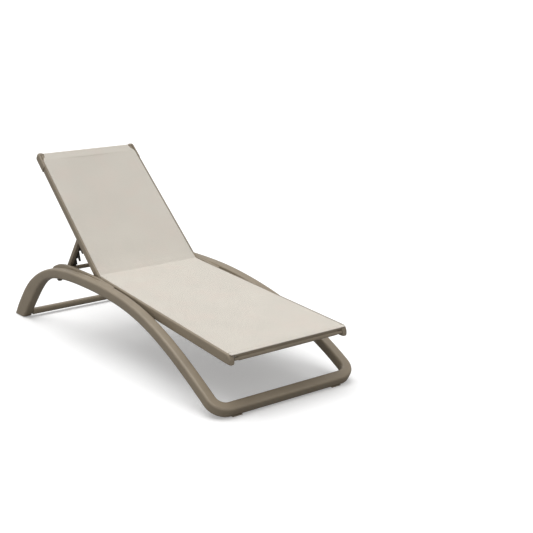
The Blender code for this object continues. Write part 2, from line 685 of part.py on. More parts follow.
def back_hinge_lug(side, sign):
    """The round-nosed end of a back rail, bored for the hinge pin."""
    nose = BACK_RAIL_HEIGHT / 2
    outline = [(LUG_LENGTH - GAP, -nose), (LUG_LENGTH - GAP, nose)]
    for step in range(9):
        angle = math.radians(90 + 180 * step / 8)
        outline.append((nose * math.cos(angle), nose * math.sin(angle)))
    name = f"back_hinge_lug_{side}"
    hole = circle((0, 0), PIN_RADIUS + BORE_CLEARANCE)
    thickness = RAIL_OUTSIDE + RAIL_INSIDE - 0.002
    mesh = flat_outline(name, [outline, hole], thickness)
    middle = sign * (SLING_HALF_HINGE + (RAIL_OUTSIDE - RAIL_INSIDE) / 2)
    turn = Matrix(((0, 0, 1, middle), (1, 0, 0, 0), (0, 1, 0, 0), (0, 0, 0, 1)))
    add_object(name, mesh, RESIN, back, turn)


def hinge_pin(side, sign):
    """A headed pin through the lug and the bracket, with a washer between them."""
    inner = SLING_HALF_HINGE - RAIL_INSIDE + 0.001
    lug_outer = SLING_HALF_HINGE + RAIL_OUTSIDE - 0.001
    head = 0.003
    profile = [(-head, 0.007), (-head * 0.6, 0.009), (-GAP, 0.009), (-GAP, PIN_RADIUS),
               (TUBE_INNER - 2 * GAP - inner, PIN_RADIUS)]
    name = f"back_hinge_pin_{side}"
    mesh = facing(turned(name, [(inner + along, radius) for along, radius in profile]), sign)
    add_object(name, mesh, STEEL, matrix=Matrix.Translation((0, HINGE_Y, HINGE_Z)))
    name = f"hinge_washer_{side}"
    mesh = flat_outline(name, [circle((0, 0), 0.012), circle((0, 0), PIN_RADIUS + BORE_CLEARANCE)],
                        BRACKET_INSIDE - lug_outer - 2 * GAP)
    middle = sign * (BRACKET_INSIDE + lug_outer) / 2
    turn = Matrix(((0, 0, 1, middle), (1, 0, 0, HINGE_Y), (0, 1, 0, HINGE_Z), (0, 0, 0, 1)))
    add_object(name, mesh, DARK, matrix=turn)


def back_bars():
    distance = BACK_LENGTH - TOP_BAR_SETBACK
    reach = back_half(distance) - RAIL_INSIDE - BAR_END_GAP
    name = "back_top_bar"
    mesh = rod(name, (-reach, distance, TOP_BAR_RISE), (reach, distance, TOP_BAR_RISE), TOP_BAR_RADIUS)
    add_object(name, mesh, RESIN, back)
    reach = back_half(LOWER_BAR_UP) - RAIL_INSIDE - BAR_END_GAP
    name = "back_lower_bar"
    mesh = rod(name, (-reach, LOWER_BAR_UP, LOWER_BAR_RISE), (reach, LOWER_BAR_UP, LOWER_BAR_RISE),
               LOWER_BAR_RADIUS)
    add_object(name, mesh, RESIN, back)


# ---- prop --------------------------------------------------------------------------
def prop_arm(side, sign):
    outline = []
    for step in range(9):
        angle = math.radians(90 + 180 * step / 8)
        outline.append((PROP_ARM_HALF * math.cos(angle), PROP_ARM_HALF * math.sin(angle)))
    for step in range(7):
        angle = math.radians(-90 + 180 * step / 6)
        outline.append((PROP_LENGTH - PROP_ARM_HALF + PROP_ARM_HALF * math.cos(angle),
                        PROP_ARM_HALF * math.sin(angle)))
    hole = circle((0, 0), PIVOT_RADIUS + BORE_CLEARANCE)
    name = f"prop_arm_{side}"
    mesh = flat_outline(name, [outline, hole], PROP_ARM_THICK)
    middle = sign * (PROP_ARM_INNER + PROP_ARM_THICK / 2)
    turn = Matrix(((0, 0, 1, middle), (1, 0, 0, 0), (0, 1, 0, 0), (0, 0, 0, 1)))
    return add_object(name, mesh, RESIN, prop, turn)


def rack_outline():
    """Side view of the toothed rack: (along the arm, forward of it)."""
    lean = (math.cos(FINGER_LEAN), math.sin(FINGER_LEAN))
    square = (-lean[1], lean[0])
    up = (math.sin(PROP_ANGLE), -math.cos(PROP_ANGLE))
    outline = [(RACK_START, -0.006), (RACK_START, RACK_FRONT)]
    for i in range(FINGER_COUNT):
        root = FINGER_FIRST + FINGER_PITCH * i
        last = i == FINGER_COUNT - 1
        length = FINGER_LENGTH - (FINGER_LAST_SHORTER if last else 0)
        tip = (root + lean[0] * length, RACK_FRONT + lean[1] * length)
        width = FINGER_WIDTH
        outline += [
            (root, RACK_FRONT),
            (tip[0] + square[0] * width * 0.2, tip[1] + square[1] * width * 0.2),
            (tip[0] - square[0] * width * 0.15, tip[1] - square[1] * width * 0.15),
            (tip[0] - square[0] * width * 0.9 - lean[0] * 0.005,
             tip[1] - square[1] * width * 0.9 - lean[1] * 0.005)]
        seat_along = REST_BAR_ALONG - FINGER_PITCH * (FINGER_COUNT - 1 - i)
        reach = REST_BAR_RADIUS + ROOF_CLEARANCE
        roof = []
        for forward in (REST_BAR_FORWARD + 0.002, RACK_FRONT - NOTCH_RELIEF):
            rise = (reach - up[1] * (forward - REST_BAR_FORWARD)) / up[0]
            roof.append((seat_along + rise, forward))
        lip_forward = roof[0][1]
        lip = (root + (lip_forward - RACK_FRONT) / math.tan(FINGER_LEAN)
               + width / math.sin(FINGER_LEAN) + 0.004)
        outline += [(lip, lip_forward), roof[0], roof[1]]
    outline += [(PROP_LENGTH - 0.008, RACK_FRONT), (PROP_LENGTH - 0.008, -0.006)]
    return [(along, -forward) for along, forward in outline]


def prop_rack(side, sign):
    name = f"prop_rack_{side}"
    mesh = flat_outline(name, [rack_outline()], RACK_THICK)
    middle = sign * (PROP_ARM_INNER - GAP - RACK_THICK / 2)
    turn = Matrix(((0, 0, 1, middle), (1, 0, 0, 0), (0, 1, 0, 0), (0, 0, 0, 1)))
    return add_object(name, mesh, DARK, prop, turn)


def rack_rivets(side, sign, arm, rack):
    """Rivets through each rack into its arm."""
    head = PROP_ARM_INNER - GAP - RACK_THICK - GAP
    for count, along in enumerate((RACK_START + 0.012, RACK_START + 0.138), start=1):
        profile = [(head - 0.0015, 0.0028), (head, 0.0042), (head, RIVET_RADIUS),
                   (PROP_ARM_INNER + 0.010, RIVET_RADIUS)]
        name = f"rack_rivet_{side}_{count}"
        add_object(name, facing(turned(name, profile, 10), sign), STEEL, prop,
                   Matrix.Translation((0, along, RIVET_RISE)))
        for target in (arm, rack):
            bore(target, (sign * (head - 0.004), along, RIVET_RISE),
                 (sign * (PROP_ARM_INNER + 0.0103), along, RIVET_RISE), RIVET_RADIUS + BORE_CLEARANCE, prop)


def prop_pivot_pin(side, sign):
    """A shouldered pin from the back rail into the eye of the prop arm."""
    rail_inner = back_half(PROP_PIVOT_UP) - RAIL_INSIDE
    arm_outer = PROP_ARM_INNER + PROP_ARM_THICK
    profile = [(PROP_ARM_INNER - 0.0035, 0.006), (PROP_ARM_INNER - 0.002, 0.008),
               (PROP_ARM_INNER - GAP, 0.008), (PROP_ARM_INNER - GAP, PIVOT_RADIUS),
               (arm_outer + GAP, PIVOT_RADIUS), (arm_outer + GAP, 0.009), (rail_inner - 0.0005, 0.009)]
    name = f"prop_pivot_pin_{side}"
    add_object(name, facing(turned(name, profile), sign), STEEL, back,
               Matrix.Translation((0, PROP_PIVOT_UP, 0)))


def prop_tie_bar():
    reach = PROP_ARM_INNER - GAP
    name = "prop_tie_bar"
    add_object(name, rod(name, (-reach, TIE_BAR_ALONG, 0), (reach, TIE_BAR_ALONG, 0), TIE_BAR_RADIUS),
               RESIN, prop)


# ---- fasteners ---------------------------------------------------------------------
def screw(name, inner, shank, sign, place):
    """One pan-head screw along X, its head's underside at inner."""
    profile = [(inner - SCREW_HEAD_THICK, SCREW_HEAD_RADIUS * 0.6),
               (inner - SCREW_HEAD_THICK * 0.5, SCREW_HEAD_RADIUS * 0.92),
               (inner, SCREW_HEAD_RADIUS), (inner, SCREW_RADIUS), (inner + shank, SCREW_RADIUS)]
    add_object(name, facing(turned(name, profile, 12), sign), STEEL, matrix=Matrix.Translation((0, *place)))


def bracket_screws(side, sign, bracket, arch):
    """Screws from the bracket's inner face into the arch."""
    inner = BRACKET_INSIDE - GAP
    shank = TUBE_INNER - BRACKET_INSIDE + 0.016
    for count, (along, up) in enumerate(BRACKET_SCREWS, start=1):
        y, z = HINGE_Y + along, HINGE_Z + up
        screw(f"bracket_screw_{side}_{count}", inner, shank, sign, (y, z))
        for target in (bracket, arch):
            bore(target, (sign * (inner - BORE_OVERSHOOT), y, z), (sign * (inner + shank + GAP), y, z),
                 SCREW_RADIUS + BORE_CLEARANCE)


def seat_rail_screw(side, sign, rail, bracket):
    """A bolt from inside the seat rail into the bracket."""
    y = HINGE_Y - SEAT_SCREW_AHEAD
    inner = seat_half(SEAT_SCREW_AHEAD - SCREW_HEAD_RADIUS) - RAIL_INSIDE - GAP
    z = HINGE_Z - SEAT_SCREW_AHEAD * math.tan(SEAT_SLOPE) - SEAT_SCREW_DROP
    shank = TUBE_INNER - 0.003 - inner
    screw(f"seat_rail_screw_{side}", inner, shank, sign, (y, z))
    for target in (rail, bracket):
        bore(target, (sign * (inner - BORE_OVERSHOOT), y, z), (sign * (inner + shank + GAP), y, z),
             SCREW_RADIUS + 2 * BORE_CLEARANCE)


# ---- assembly ----------------------------------------------------------------------
clear_scene()
lounger = new_collection("sling_sun_lounger")
cutters = new_collection("cutters")
hinge_place = (0, HINGE_Y, HINGE_Z)
seat = add_frame("seat_frame", None, hinge_place, SEAT_SLOPE)
back = add_frame("back_hinge_axis", None, hinge_place, BACK_ANGLE)
prop = add_frame("prop_pivot_axis", back, (0, PROP_PIVOT_UP, 0), PROP_ANGLE - BACK_ANGLE)

front_floor_bar()
rear_floor_bar()
frame_bars()
seat_bars()
back_bars()
prop_tie_bar()
sling("seat_sling", -SEAT_LENGTH + SEAT_CAP_LENGTH, -CREASE_GAP,
      seat_half(SEAT_LENGTH - SEAT_CAP_LENGTH), seat_half(CREASE_GAP),
      SEAT_RAIL_HEIGHT / 2 - RAIL_RECESS + GAP, seat)
sling("back_sling", BACK_SLING_START, BACK_SLING_END, back_half(BACK_SLING_START),
      back_half(BACK_SLING_END), BACK_RAIL_HEIGHT / 2 - RAIL_RECESS + GAP, back)
for side, sign in SIDES_OF_FRAME:
    arch = side_arch(side, sign)
    glides(side, sign)
    stack_bumper(side, sign)
    bracket = frame_bracket(side, sign)
    rail = seat_rail(side, sign)
    seat_rail_cap(side, sign)
    rail_spacer(side, sign)
    bracket_screws(side, sign, bracket, arch)
    seat_rail_screw(side, sign, rail, bracket)
    back_rail(side, sign)
    back_top_cap(side, sign)
    back_hinge_lug(side, sign)
    hinge_pin(side, sign)
    arm = prop_arm(side, sign)
    rack = prop_rack(side, sign)
    rack_rivets(side, sign, arm, rack)
    prop_pivot_pin(side, sign)
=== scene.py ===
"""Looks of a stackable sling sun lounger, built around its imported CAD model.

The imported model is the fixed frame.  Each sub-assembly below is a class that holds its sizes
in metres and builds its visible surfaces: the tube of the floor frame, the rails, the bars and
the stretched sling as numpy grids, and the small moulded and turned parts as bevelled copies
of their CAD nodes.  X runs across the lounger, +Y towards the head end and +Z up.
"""

from __future__ import annotations

import json
import logging
import math
import sys
from collections.abc import Sequence
from dataclasses import dataclass, field
from enum import Enum

import bmesh
import bpy
import numpy as np
from mathutils import Matrix, Vector

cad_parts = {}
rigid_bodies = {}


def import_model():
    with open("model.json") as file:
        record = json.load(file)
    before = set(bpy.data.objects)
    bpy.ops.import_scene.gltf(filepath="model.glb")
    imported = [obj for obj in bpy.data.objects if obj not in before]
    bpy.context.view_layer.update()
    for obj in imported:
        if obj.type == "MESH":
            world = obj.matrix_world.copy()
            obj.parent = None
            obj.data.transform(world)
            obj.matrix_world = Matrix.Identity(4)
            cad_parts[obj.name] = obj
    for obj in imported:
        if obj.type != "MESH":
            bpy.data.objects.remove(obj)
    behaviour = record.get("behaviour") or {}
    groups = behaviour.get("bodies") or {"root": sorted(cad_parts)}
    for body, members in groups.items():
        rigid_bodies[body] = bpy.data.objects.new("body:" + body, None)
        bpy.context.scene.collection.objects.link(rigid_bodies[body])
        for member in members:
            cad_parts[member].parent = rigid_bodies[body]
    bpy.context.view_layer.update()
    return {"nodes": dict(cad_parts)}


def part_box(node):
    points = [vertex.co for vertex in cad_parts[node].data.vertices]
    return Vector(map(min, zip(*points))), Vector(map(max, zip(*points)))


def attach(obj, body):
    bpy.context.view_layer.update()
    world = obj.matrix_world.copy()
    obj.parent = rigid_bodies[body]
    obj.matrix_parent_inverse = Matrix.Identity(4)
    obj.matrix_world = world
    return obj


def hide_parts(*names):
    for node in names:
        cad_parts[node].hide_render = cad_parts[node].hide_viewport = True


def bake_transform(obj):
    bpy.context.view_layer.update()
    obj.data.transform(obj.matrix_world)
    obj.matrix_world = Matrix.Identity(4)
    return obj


LOG = logging.getLogger("sling_lounger")


class Slot(Enum):
    """Material slots of the part's record."""

    RESIN = "taupe_resin"
    SLING = "cream_sling"
    NYLON = "dark_nylon"
    RUBBER = "bumper_rubber"
    STEEL = "stainless_steel"


class Body(Enum):
    """Rigid bodies of the part's joint tree."""

    FRAME = "frame"
    BACK = "backrest"
    PROP = "prop"


class Side(Enum):
    """Left and right half of the lounger, with the sign of X there."""

    LEFT = -1.0
    RIGHT = 1.0

    @property
    def word(self) -> str:
        """Name of the side as the CAD nodes spell it."""
        return self.name.lower()


# ---- node graphs -------------------------------------------------------------------
class Graph:
    """A material's node tree, with short calls to add and join nodes."""

    def __init__(self, name: str) -> None:
        """Start a material with one Principled shader.

        Args:
            name: name of the material.
        """
        self.material = bpy.data.materials.new(name)
        self.material.use_nodes = True
        self.tree = self.material.node_tree
        self.shader = self.tree.nodes["Principled BSDF"]

    def node(self, kind: str, values: dict[str | int, object] | None = None,
             **settings: object) -> bpy.types.Node:
        """Add one node.

        Args:
            kind: Blender's node type.
            values: input name or index to a number, a colour or another node's socket.
            settings: attributes of the node itself.

        Returns:
            The new node.
        """
        made = self.tree.nodes.new(kind)
        for key, value in settings.items():
            setattr(made, key, value)
        for key, value in (values or {}).items():
            self.join(value, made.inputs[key])
        return made

    def join(self, value: object, socket: bpy.types.NodeSocket) -> None:
        """Link a socket or set a constant.

        Args:
            value: a number, a colour or another node's output socket.
            socket: the input that takes it.
        """
        if isinstance(value, bpy.types.NodeSocket):
            self.tree.links.new(value, socket)
        else:
            socket.default_value = value

    def dress(self, values: dict[str, object]) -> bpy.types.Material:
        """Join values to the shader's inputs.

        Args:
            values: input name to a number, a colour or another node's socket.

        Returns:
            The finished material.
        """
        for key, value in values.items():
            self.join(value, self.shader.inputs[key])
        return self.material

    def math(self, operation: str, a: object, b: object = 0.0) -> bpy.types.NodeSocket:
        """Join two values by one arithmetic step.

        Args:
            operation: Blender's name of the step.
            a: first number or socket.
            b: second number or socket.

        Returns:
            The output socket.
        """
        return self.node("ShaderNodeMath", {0: a, 1: b}, operation=operation).outputs[0]

    def ramp(self, value: object, low: float, high: float,
             to_low: float, to_high: float) -> bpy.types.NodeSocket:
        """Map a value's range onto another, held at both ends.

        Args:
            value: the socket to map.
            low: start of the value's range.
            high: end of the value's range.
            to_low: result at the start.
            to_high: result at the end.

        Returns:
            The output socket.
        """
        return self.node("ShaderNodeMapRange",
                         {"Value": value, "From Min": low, "From Max": high,
                          "To Min": to_low, "To Max": to_high}).outputs["Result"]

    def noise(self, place: object, scale: float, detail: float = 2.0) -> bpy.types.NodeSocket:
        """Smooth noise, 0 to 1.

        Args:
            place: the vector socket that it reads.
            scale: cells in a metre.
            detail: octaves.

        Returns:
            The output socket.
        """
        return self.node("ShaderNodeTexNoise", {"Vector": place, "Scale": scale, "Detail": detail}
                         ).outputs["Fac"]

    def blend(self, share: object, first: object, second: object) -> bpy.types.NodeSocket:
        """Mix two colours.

        Args:
            share: how much of the second one.
            first: a colour or its socket.
            second: a colour or its socket.

        Returns:
            The output socket.
        """
        made = self.node("ShaderNodeMix", data_type="RGBA")
        for socket, value in zip((made.inputs[0], made.inputs[6], made.inputs[7]),
                                 (share, first, second)):
            self.join(value, socket)
        return made.outputs[2]

    def place(self) -> bpy.types.NodeSocket:
        """Object coordinates, in metres."""
        return self.node("ShaderNodeTexCoord").outputs["Object"]

    def bump(self, height: object, strength: float, distance: float,
             under: object | None = None) -> bpy.types.NodeSocket:
        """Turn a height into a normal.

        Args:
            height: the height socket.
            strength: how much of it, 0 to 1.
            distance: metres that a height of 1 stands for.
            under: normal of a coarser bump below it.

        Returns:
            The normal socket.
        """
        values = {"Height": height, "Strength": strength, "Distance": distance}
        if under is not None:
            values["Normal"] = under
        return self.node("ShaderNodeBump", values).outputs["Normal"]


def grey(level: float) -> tuple[float, float, float, float]:
    """A neutral colour of one level."""
    return (level, level, level, 1.0)


def tinted(colour: tuple[float, float, float], gain: float) -> tuple[float, float, float, float]:
    """A colour made lighter or darker by a factor."""
    return (colour[0] * gain, colour[1] * gain, colour[2] * gain, 1.0)


# ---- finishes ----------------------------------------------------------------------
@dataclass(frozen=True)
class MouldedResin:
    """Satin glass-filled resin with a fine spark-eroded grain and faint flow shading."""

    name: str = "moulded_taupe_resin"
    colour: tuple[float, float, float] = (0.262, 0.214, 0.153)
    roughness: float = 0.44
    grain_cells: float = 1500.0
    grain_height: float = 0.00012
    flow_cells: float = 9.0

    def build(self) -> bpy.types.Material:
        """Make the material."""
        graph = Graph(self.name)
        place = graph.place()
        flow = graph.noise(place, self.flow_cells, 3.0)
        grain = graph.noise(place, self.grain_cells, 2.0)
        scuff = graph.noise(place, 60.0, 5.0)
        base = graph.blend(graph.ramp(flow, 0.3, 0.7, 0.0, 1.0),
                           tinted(self.colour, 0.94), tinted(self.colour, 1.07))
        base = graph.blend(graph.ramp(grain, 0.35, 0.75, 0.0, 0.16), base,
                           tinted(self.colour, 1.35))
        smudged = graph.ramp(scuff, 0.3, 0.7, self.roughness - 0.04, self.roughness + 0.06)
        rough = graph.math("ADD", graph.ramp(grain, 0.3, 0.7, -0.05, 0.05), smudged)
        return graph.dress({"Base Color": base, "Roughness": rough, "Specular IOR Level": 0.5,
                            "Normal": graph.bump(grain, 0.35, self.grain_height)})


@dataclass(frozen=True)
class SlingWeave:
    """Plain-woven coated polyester: round threads that pass over and under each other."""

    name: str = "woven_cream_sling"
    colour: tuple[float, float, float] = (0.715, 0.668, 0.590)
    pitch: float = 0.0019
    depth: float = 0.00035

    def build(self) -> bpy.types.Material:
        """Make the material.

        The thread height is a half wave along each thread's width, and the product of a warp
        and a weft wave says which of the two threads lies on top.
        """
        graph = Graph(self.name)
        cloth = graph.node("ShaderNodeUVMap", uv_map="cloth").outputs["UV"]
        place = graph.place()
        split = graph.node("ShaderNodeSeparateXYZ", {0: cloth})
        wave = math.pi / self.pitch
        across = graph.math("SINE", graph.math("MULTIPLY", split.outputs[0], wave))
        along = graph.math("SINE", graph.math("MULTIPLY", split.outputs[1], wave))
        over = graph.math("MULTIPLY", across, along)
        warp = graph.math("ABSOLUTE", across)
        weft = graph.math("ABSOLUTE", along)
        on_top = graph.ramp(over, -0.12, 0.12, 0.0, 1.0)
        crown = graph.node("ShaderNodeMix", {0: on_top, 2: warp, 3: weft},
                           data_type="FLOAT").outputs[0]
        lift = graph.math("MULTIPLY", graph.math("ABSOLUTE", over), 0.35)
        height = graph.math("ADD", graph.math("MULTIPLY", crown, 0.65), lift)
        cloud = graph.noise(place, 5.5, 2.0)
        warm = graph.noise(place, 9.0, 1.0)
        slub = graph.noise(graph.node("ShaderNodeMapping", {0: cloth, 3: (900.0, 14.0, 1.0)}
                                      ).outputs[0], 1.0, 2.0)
        base = graph.blend(graph.ramp(cloud, 0.35, 0.65, 0.0, 1.0),
                           tinted(self.colour, 0.975), tinted(self.colour, 1.02))
        pinker = (self.colour[0] * 1.02, self.colour[1] * 0.985, self.colour[2] * 0.985, 1.0)
        base = graph.blend(graph.ramp(warm, 0.45, 0.7, 0.0, 0.8), base, pinker)
        base = graph.blend(graph.ramp(slub, 0.35, 0.75, 0.0, 0.22), base,
                           tinted(self.colour, 0.86))
        # Painted shade: the colour is darkened where the threads dip low between each other, and
        # lifted slightly on their crowns as a faint painted highlight.
        shade = graph.ramp(height, 0.15, 0.75, 0.66, 1.04)
        base = graph.node("ShaderNodeVectorMath", {0: base, 1: graph.node(
            "ShaderNodeCombineXYZ", {0: shade, 1: shade, 2: shade}).outputs[0]},
            operation="MULTIPLY").outputs[0]
        return graph.dress({"Base Color": base, "Sheen Weight": 0.10,
                            "Roughness": graph.ramp(height, 0.2, 0.8, 0.82, 0.62),
                            "Normal": graph.bump(height, 0.8, self.depth)})


@dataclass(frozen=True)
class FilledNylon:
    """Matte black-brown nylon with short glass fibres in it."""

    name: str = "filled_dark_nylon"
    colour: tuple[float, float, float] = (0.022, 0.019, 0.016)
    fibre_height: float = 0.00012

    def build(self) -> bpy.types.Material:
        """Make the material."""
        graph = Graph(self.name)
        place = graph.place()
        fibres = graph.noise(place, 1100.0, 3.0)
        haze = graph.noise(place, 40.0, 3.0)
        base = graph.blend(graph.ramp(fibres, 0.5, 0.8, 0.0, 0.5), tinted(self.colour, 1.0),
                           tinted(self.colour, 2.2))
        return graph.dress({"Base Color": base,
                            "Roughness": graph.ramp(haze, 0.3, 0.7, 0.48, 0.62),
                            "Normal": graph.bump(fibres, 0.3, self.fibre_height)})


@dataclass(frozen=True)
class PadRubber:
    """Dull taupe rubber of the stacking bumpers, a little dusty."""

    name: str = "pad_rubber"
    colour: tuple[float, float, float] = (0.135, 0.112, 0.084)
    dusty: tuple[float, float, float] = (0.21, 0.185, 0.15)
    pore_depth: float = 0.00015

    def build(self) -> bpy.types.Material:
        """Make the material."""
        graph = Graph(self.name)
        place = graph.place()
        dust = graph.noise(place, 120.0, 5.0)
        pores = graph.noise(place, 1600.0, 2.0)
        base = graph.blend(graph.ramp(dust, 0.45, 0.75, 0.0, 0.6), tinted(self.colour, 1.0),
                           tinted(self.dusty, 1.0))
        return graph.dress({"Base Color": base,
                            "Roughness": graph.ramp(dust, 0.3, 0.7, 0.74, 0.9),
                            "Normal": graph.bump(pores, 0.4, self.pore_depth)})


@dataclass(frozen=True)
class TurnedSteel:
    """Stainless steel with the fine rings that turning leaves."""

    name: str = "turned_stainless_steel"
    hazy: tuple[float, float, float] = (0.50, 0.50, 0.48)
    bright: tuple[float, float, float] = (0.66, 0.66, 0.64)
    ring_depth: float = 0.00005

    def build(self) -> bpy.types.Material:
        """Make the material."""
        graph = Graph(self.name)
        place = graph.place()
        streaks = graph.noise(graph.node("ShaderNodeMapping", {0: place, 3: (5200.0, 260.0, 260.0)}
                                         ).outputs[0], 1.0, 2.0)
        haze = graph.noise(place, 220.0, 3.0)
        base = graph.blend(haze, tinted(self.hazy, 1.0), tinted(self.bright, 1.0))
        return graph.dress({"Base Color": base, "Metallic": 1.0,
                            "Roughness": graph.ramp(streaks, 0.3, 0.7, 0.26, 0.42),
                            "Normal": graph.bump(streaks, 0.12, self.ring_depth)})


@dataclass(frozen=True)
class SewingThread:
    """Twisted polyester thread of the hems."""

    name: str = "sewing_thread"
    colour: tuple[float, float, float] = (0.60, 0.555, 0.475)
    twist_height: float = 0.0001

    def build(self) -> bpy.types.Material:
        """Make the material."""
        graph = Graph(self.name)
        twist = graph.noise(graph.place(), 2600.0, 1.0)
        base = graph.blend(twist, tinted(self.colour, 0.8), tinted(self.colour, 1.1))
        return graph.dress({"Base Color": base, "Roughness": 0.7,
                            "Normal": graph.bump(twist, 0.4, self.twist_height)})


@dataclass
class Finishes:
    """One material for each slot, and the thread."""

    by_slot: dict[Slot, bpy.types.Material] = field(default_factory=dict)
    thread: bpy.types.Material | None = None

    def build(self) -> Finishes:
        """Make every material once."""
        self.by_slot = {Slot.RESIN: MouldedResin().build(), Slot.SLING: SlingWeave().build(),
                        Slot.NYLON: FilledNylon().build(), Slot.RUBBER: PadRubber().build(),
                        Slot.STEEL: TurnedSteel().build()}
        self.thread = SewingThread().build()
        return self


# ---- numpy surfaces ----------------------------------------------------------------
def unit(vectors: np.ndarray) -> np.ndarray:
    """Each row of an array scaled to length 1."""
    return vectors / np.linalg.norm(vectors, axis=-1, keepdims=True)


def smooth_step(value: np.ndarray | float) -> np.ndarray:
    """3t^2 - 2t^3, with t held between 0 and 1."""
    held = np.clip(value, 0.0, 1.0)
    return held * held * (3 - 2 * held)


def bezier_weights(t: np.ndarray) -> np.ndarray:
    """Weights (n, 4) of a cubic Bezier's handles: (1-t)^3, 3t(1-t)^2, 3t^2(1-t) and t^3."""
    return np.stack(((1 - t) ** 3, 3 * t * (1 - t) ** 2, 3 * t * t * (1 - t), t ** 3), axis=1)


def rounded_section(width: np.ndarray, depth: np.ndarray, corner: float, crown: float = 0.0,
                    arc: int = 6, flat: int = 4) -> np.ndarray:
    """Outlines of rounded rectangles, one for each station.

    A corner is a quarter circle about the point (half width - corner, half depth - corner).
    The flats are then crowned: a point at (u, v) moves out by crown times 1 - (u / half)^2.

    Args:
        width: size across, one for each station.
        depth: size in the other direction, one for each station.
        corner: radius of the corners.
        crown: how far the middle of a flat stands out.
        arc: steps in a corner.
        flat: steps in a flat.

    Returns:
        Array (stations, points, 2).
    """
    half_w = np.atleast_1d(np.asarray(width, float))[:, None] / 2
    half_d = np.atleast_1d(np.asarray(depth, float))[:, None] / 2
    half_w, half_d = np.broadcast_arrays(half_w, half_d)
    radius = np.minimum(corner, 0.98 * np.minimum(half_w, half_d))
    quarters = np.radians(np.array([0.0, 90.0, 180.0, 270.0]))[:, None]
    turns = quarters + np.linspace(0, np.pi / 2, arc + 1)
    signs = np.array([(1, 1), (-1, 1), (-1, -1), (1, -1)], float)
    u = signs[:, 0, None] * (half_w - radius)[:, :, None] + radius[:, :, None] * np.cos(turns)
    v = signs[:, 1, None] * (half_d - radius)[:, :, None] + radius[:, :, None] * np.sin(turns)
    share = np.linspace(0, 1, flat + 1)[1:-1]
    end_u, end_v = u[:, :, -1:], v[:, :, -1:]
    next_u, next_v = np.roll(u, -1, axis=1)[:, :, :1], np.roll(v, -1, axis=1)[:, :, :1]
    u = np.concatenate((u, end_u + (next_u - end_u) * share), axis=2).reshape(len(half_w), -1)
    v = np.concatenate((v, end_v + (next_v - end_v) * share), axis=2).reshape(len(half_w), -1)
    bulge_u = crown * (1 - (v / half_d) ** 2) * u / half_w
    bulge_v = crown * (1 - (u / half_w) ** 2) * v / half_d
    return np.stack((u + bulge_u, v + bulge_v), axis=2)


def circle_section(radius: np.ndarray | float, sides: int = 40) -> np.ndarray:
    """Circles, one for each radius.

    Args:
        radius: one radius for each station.
        sides: points in a circle.

    Returns:
        Array (stations, points, 2).
    """
    turn = np.linspace(0, 2 * np.pi, sides, endpoint=False)
    ring = np.stack((np.cos(turn), np.sin(turn)), axis=1)
    return np.atleast_1d(np.asarray(radius, float))[:, None, None] * ring


def sweep(centres: np.ndarray, across: np.ndarray, deep: np.ndarray,
          outline: np.ndarray) -> np.ndarray:
    """Carry an outline along a path: point = centre + across * u + deep * v.

    Args:
        centres: (stations, 3) points of the path.
        across: (stations, 3) or (3,) direction of u.
        deep: (stations, 3) or (3,) direction of v.
        outline: (stations, points, 2) or (1, points, 2).

    Returns:
        Grid (stations, points, 3).
    """
    across = np.broadcast_to(across, centres.shape)
    deep = np.broadcast_to(deep, centres.shape)
    return (centres[:, None, :] + across[:, None, :] * outline[..., 0:1]
            + deep[:, None, :] * outline[..., 1:2])


def grid_faces(rows: int, columns: int, around: bool) -> np.ndarray:
    """Quads of a grid, numbered row by row.

    Args:
        rows: stations along the surface.
        columns: points across it.
        around: whether the last column joins the first.

    Returns:
        Array (faces, 4).
    """
    row, column = np.meshgrid(np.arange(rows - 1),
                              np.arange(columns if around else columns - 1), indexing="ij")
    following = (column + 1) % columns
    return np.stack((row * columns + column, row * columns + following,
                     (row + 1) * columns + following, (row + 1) * columns + column),
                    axis=2).reshape(-1, 4)


def mesh_object(name: str, grid: np.ndarray, around: bool = True, capped: bool = True,
                sharp: float = 40.0) -> bpy.types.Object:
    """Put a grid of points into a mesh object at the origin, its faces outwards.

    Args:
        name: name of the piece.
        grid: (stations, points, 3).
        around: whether each row is a closed ring.
        capped: whether the first and last rows are filled.
        sharp: edges bent by more than this many degrees are sharp.

    Returns:
        The linked object.
    """
    rows, columns = grid.shape[:2]
    faces = grid_faces(rows, columns, around).tolist()
    if capped and around:
        faces += [list(range(columns)), list(range((rows - 1) * columns, rows * columns))]
    mesh = bpy.data.meshes.new(name)
    mesh.from_pydata(grid.reshape(-1, 3), [], faces)
    if around:
        outwards(mesh)
    mesh.shade_smooth()
    mesh.set_sharp_from_angle(angle=math.radians(sharp))
    made = bpy.data.objects.new(name, mesh)
    bpy.context.scene.collection.objects.link(made)
    return made


def outwards(mesh: bpy.types.Mesh) -> None:
    """Turn a closed mesh's faces outwards."""
    bm = bmesh.new()
    bm.from_mesh(mesh)
    bmesh.ops.recalc_face_normals(bm, faces=bm.faces[:])
    bm.to_mesh(mesh)
    bm.free()


def joined(name: str, grids: Sequence[np.ndarray]) -> bpy.types.Object:
    """One object from several closed grids of the same size.

    Args:
        name: name of the piece.
        grids: arrays (stations, points, 3).

    Returns:
        The linked object.
    """
    stack = np.stack(grids)
    count, rows, columns = stack.shape[:3]
    faces = grid_faces(rows, columns, True)
    every = (faces[None] + (np.arange(count) * rows * columns)[:, None, None]).reshape(-1, 4)
    mesh = bpy.data.meshes.new(name)
    mesh.from_pydata(stack.reshape(-1, 3), [], every.tolist())
    outwards(mesh)
    mesh.shade_smooth()
    made = bpy.data.objects.new(name, mesh)
    bpy.context.scene.collection.objects.link(made)
    return made


def rotation_x(angle: float) -> np.ndarray:
    """Rotation matrix about X."""
    c, s = math.cos(angle), math.sin(angle)
    return np.array(((1, 0, 0), (0, c, -s), (0, s, c)))


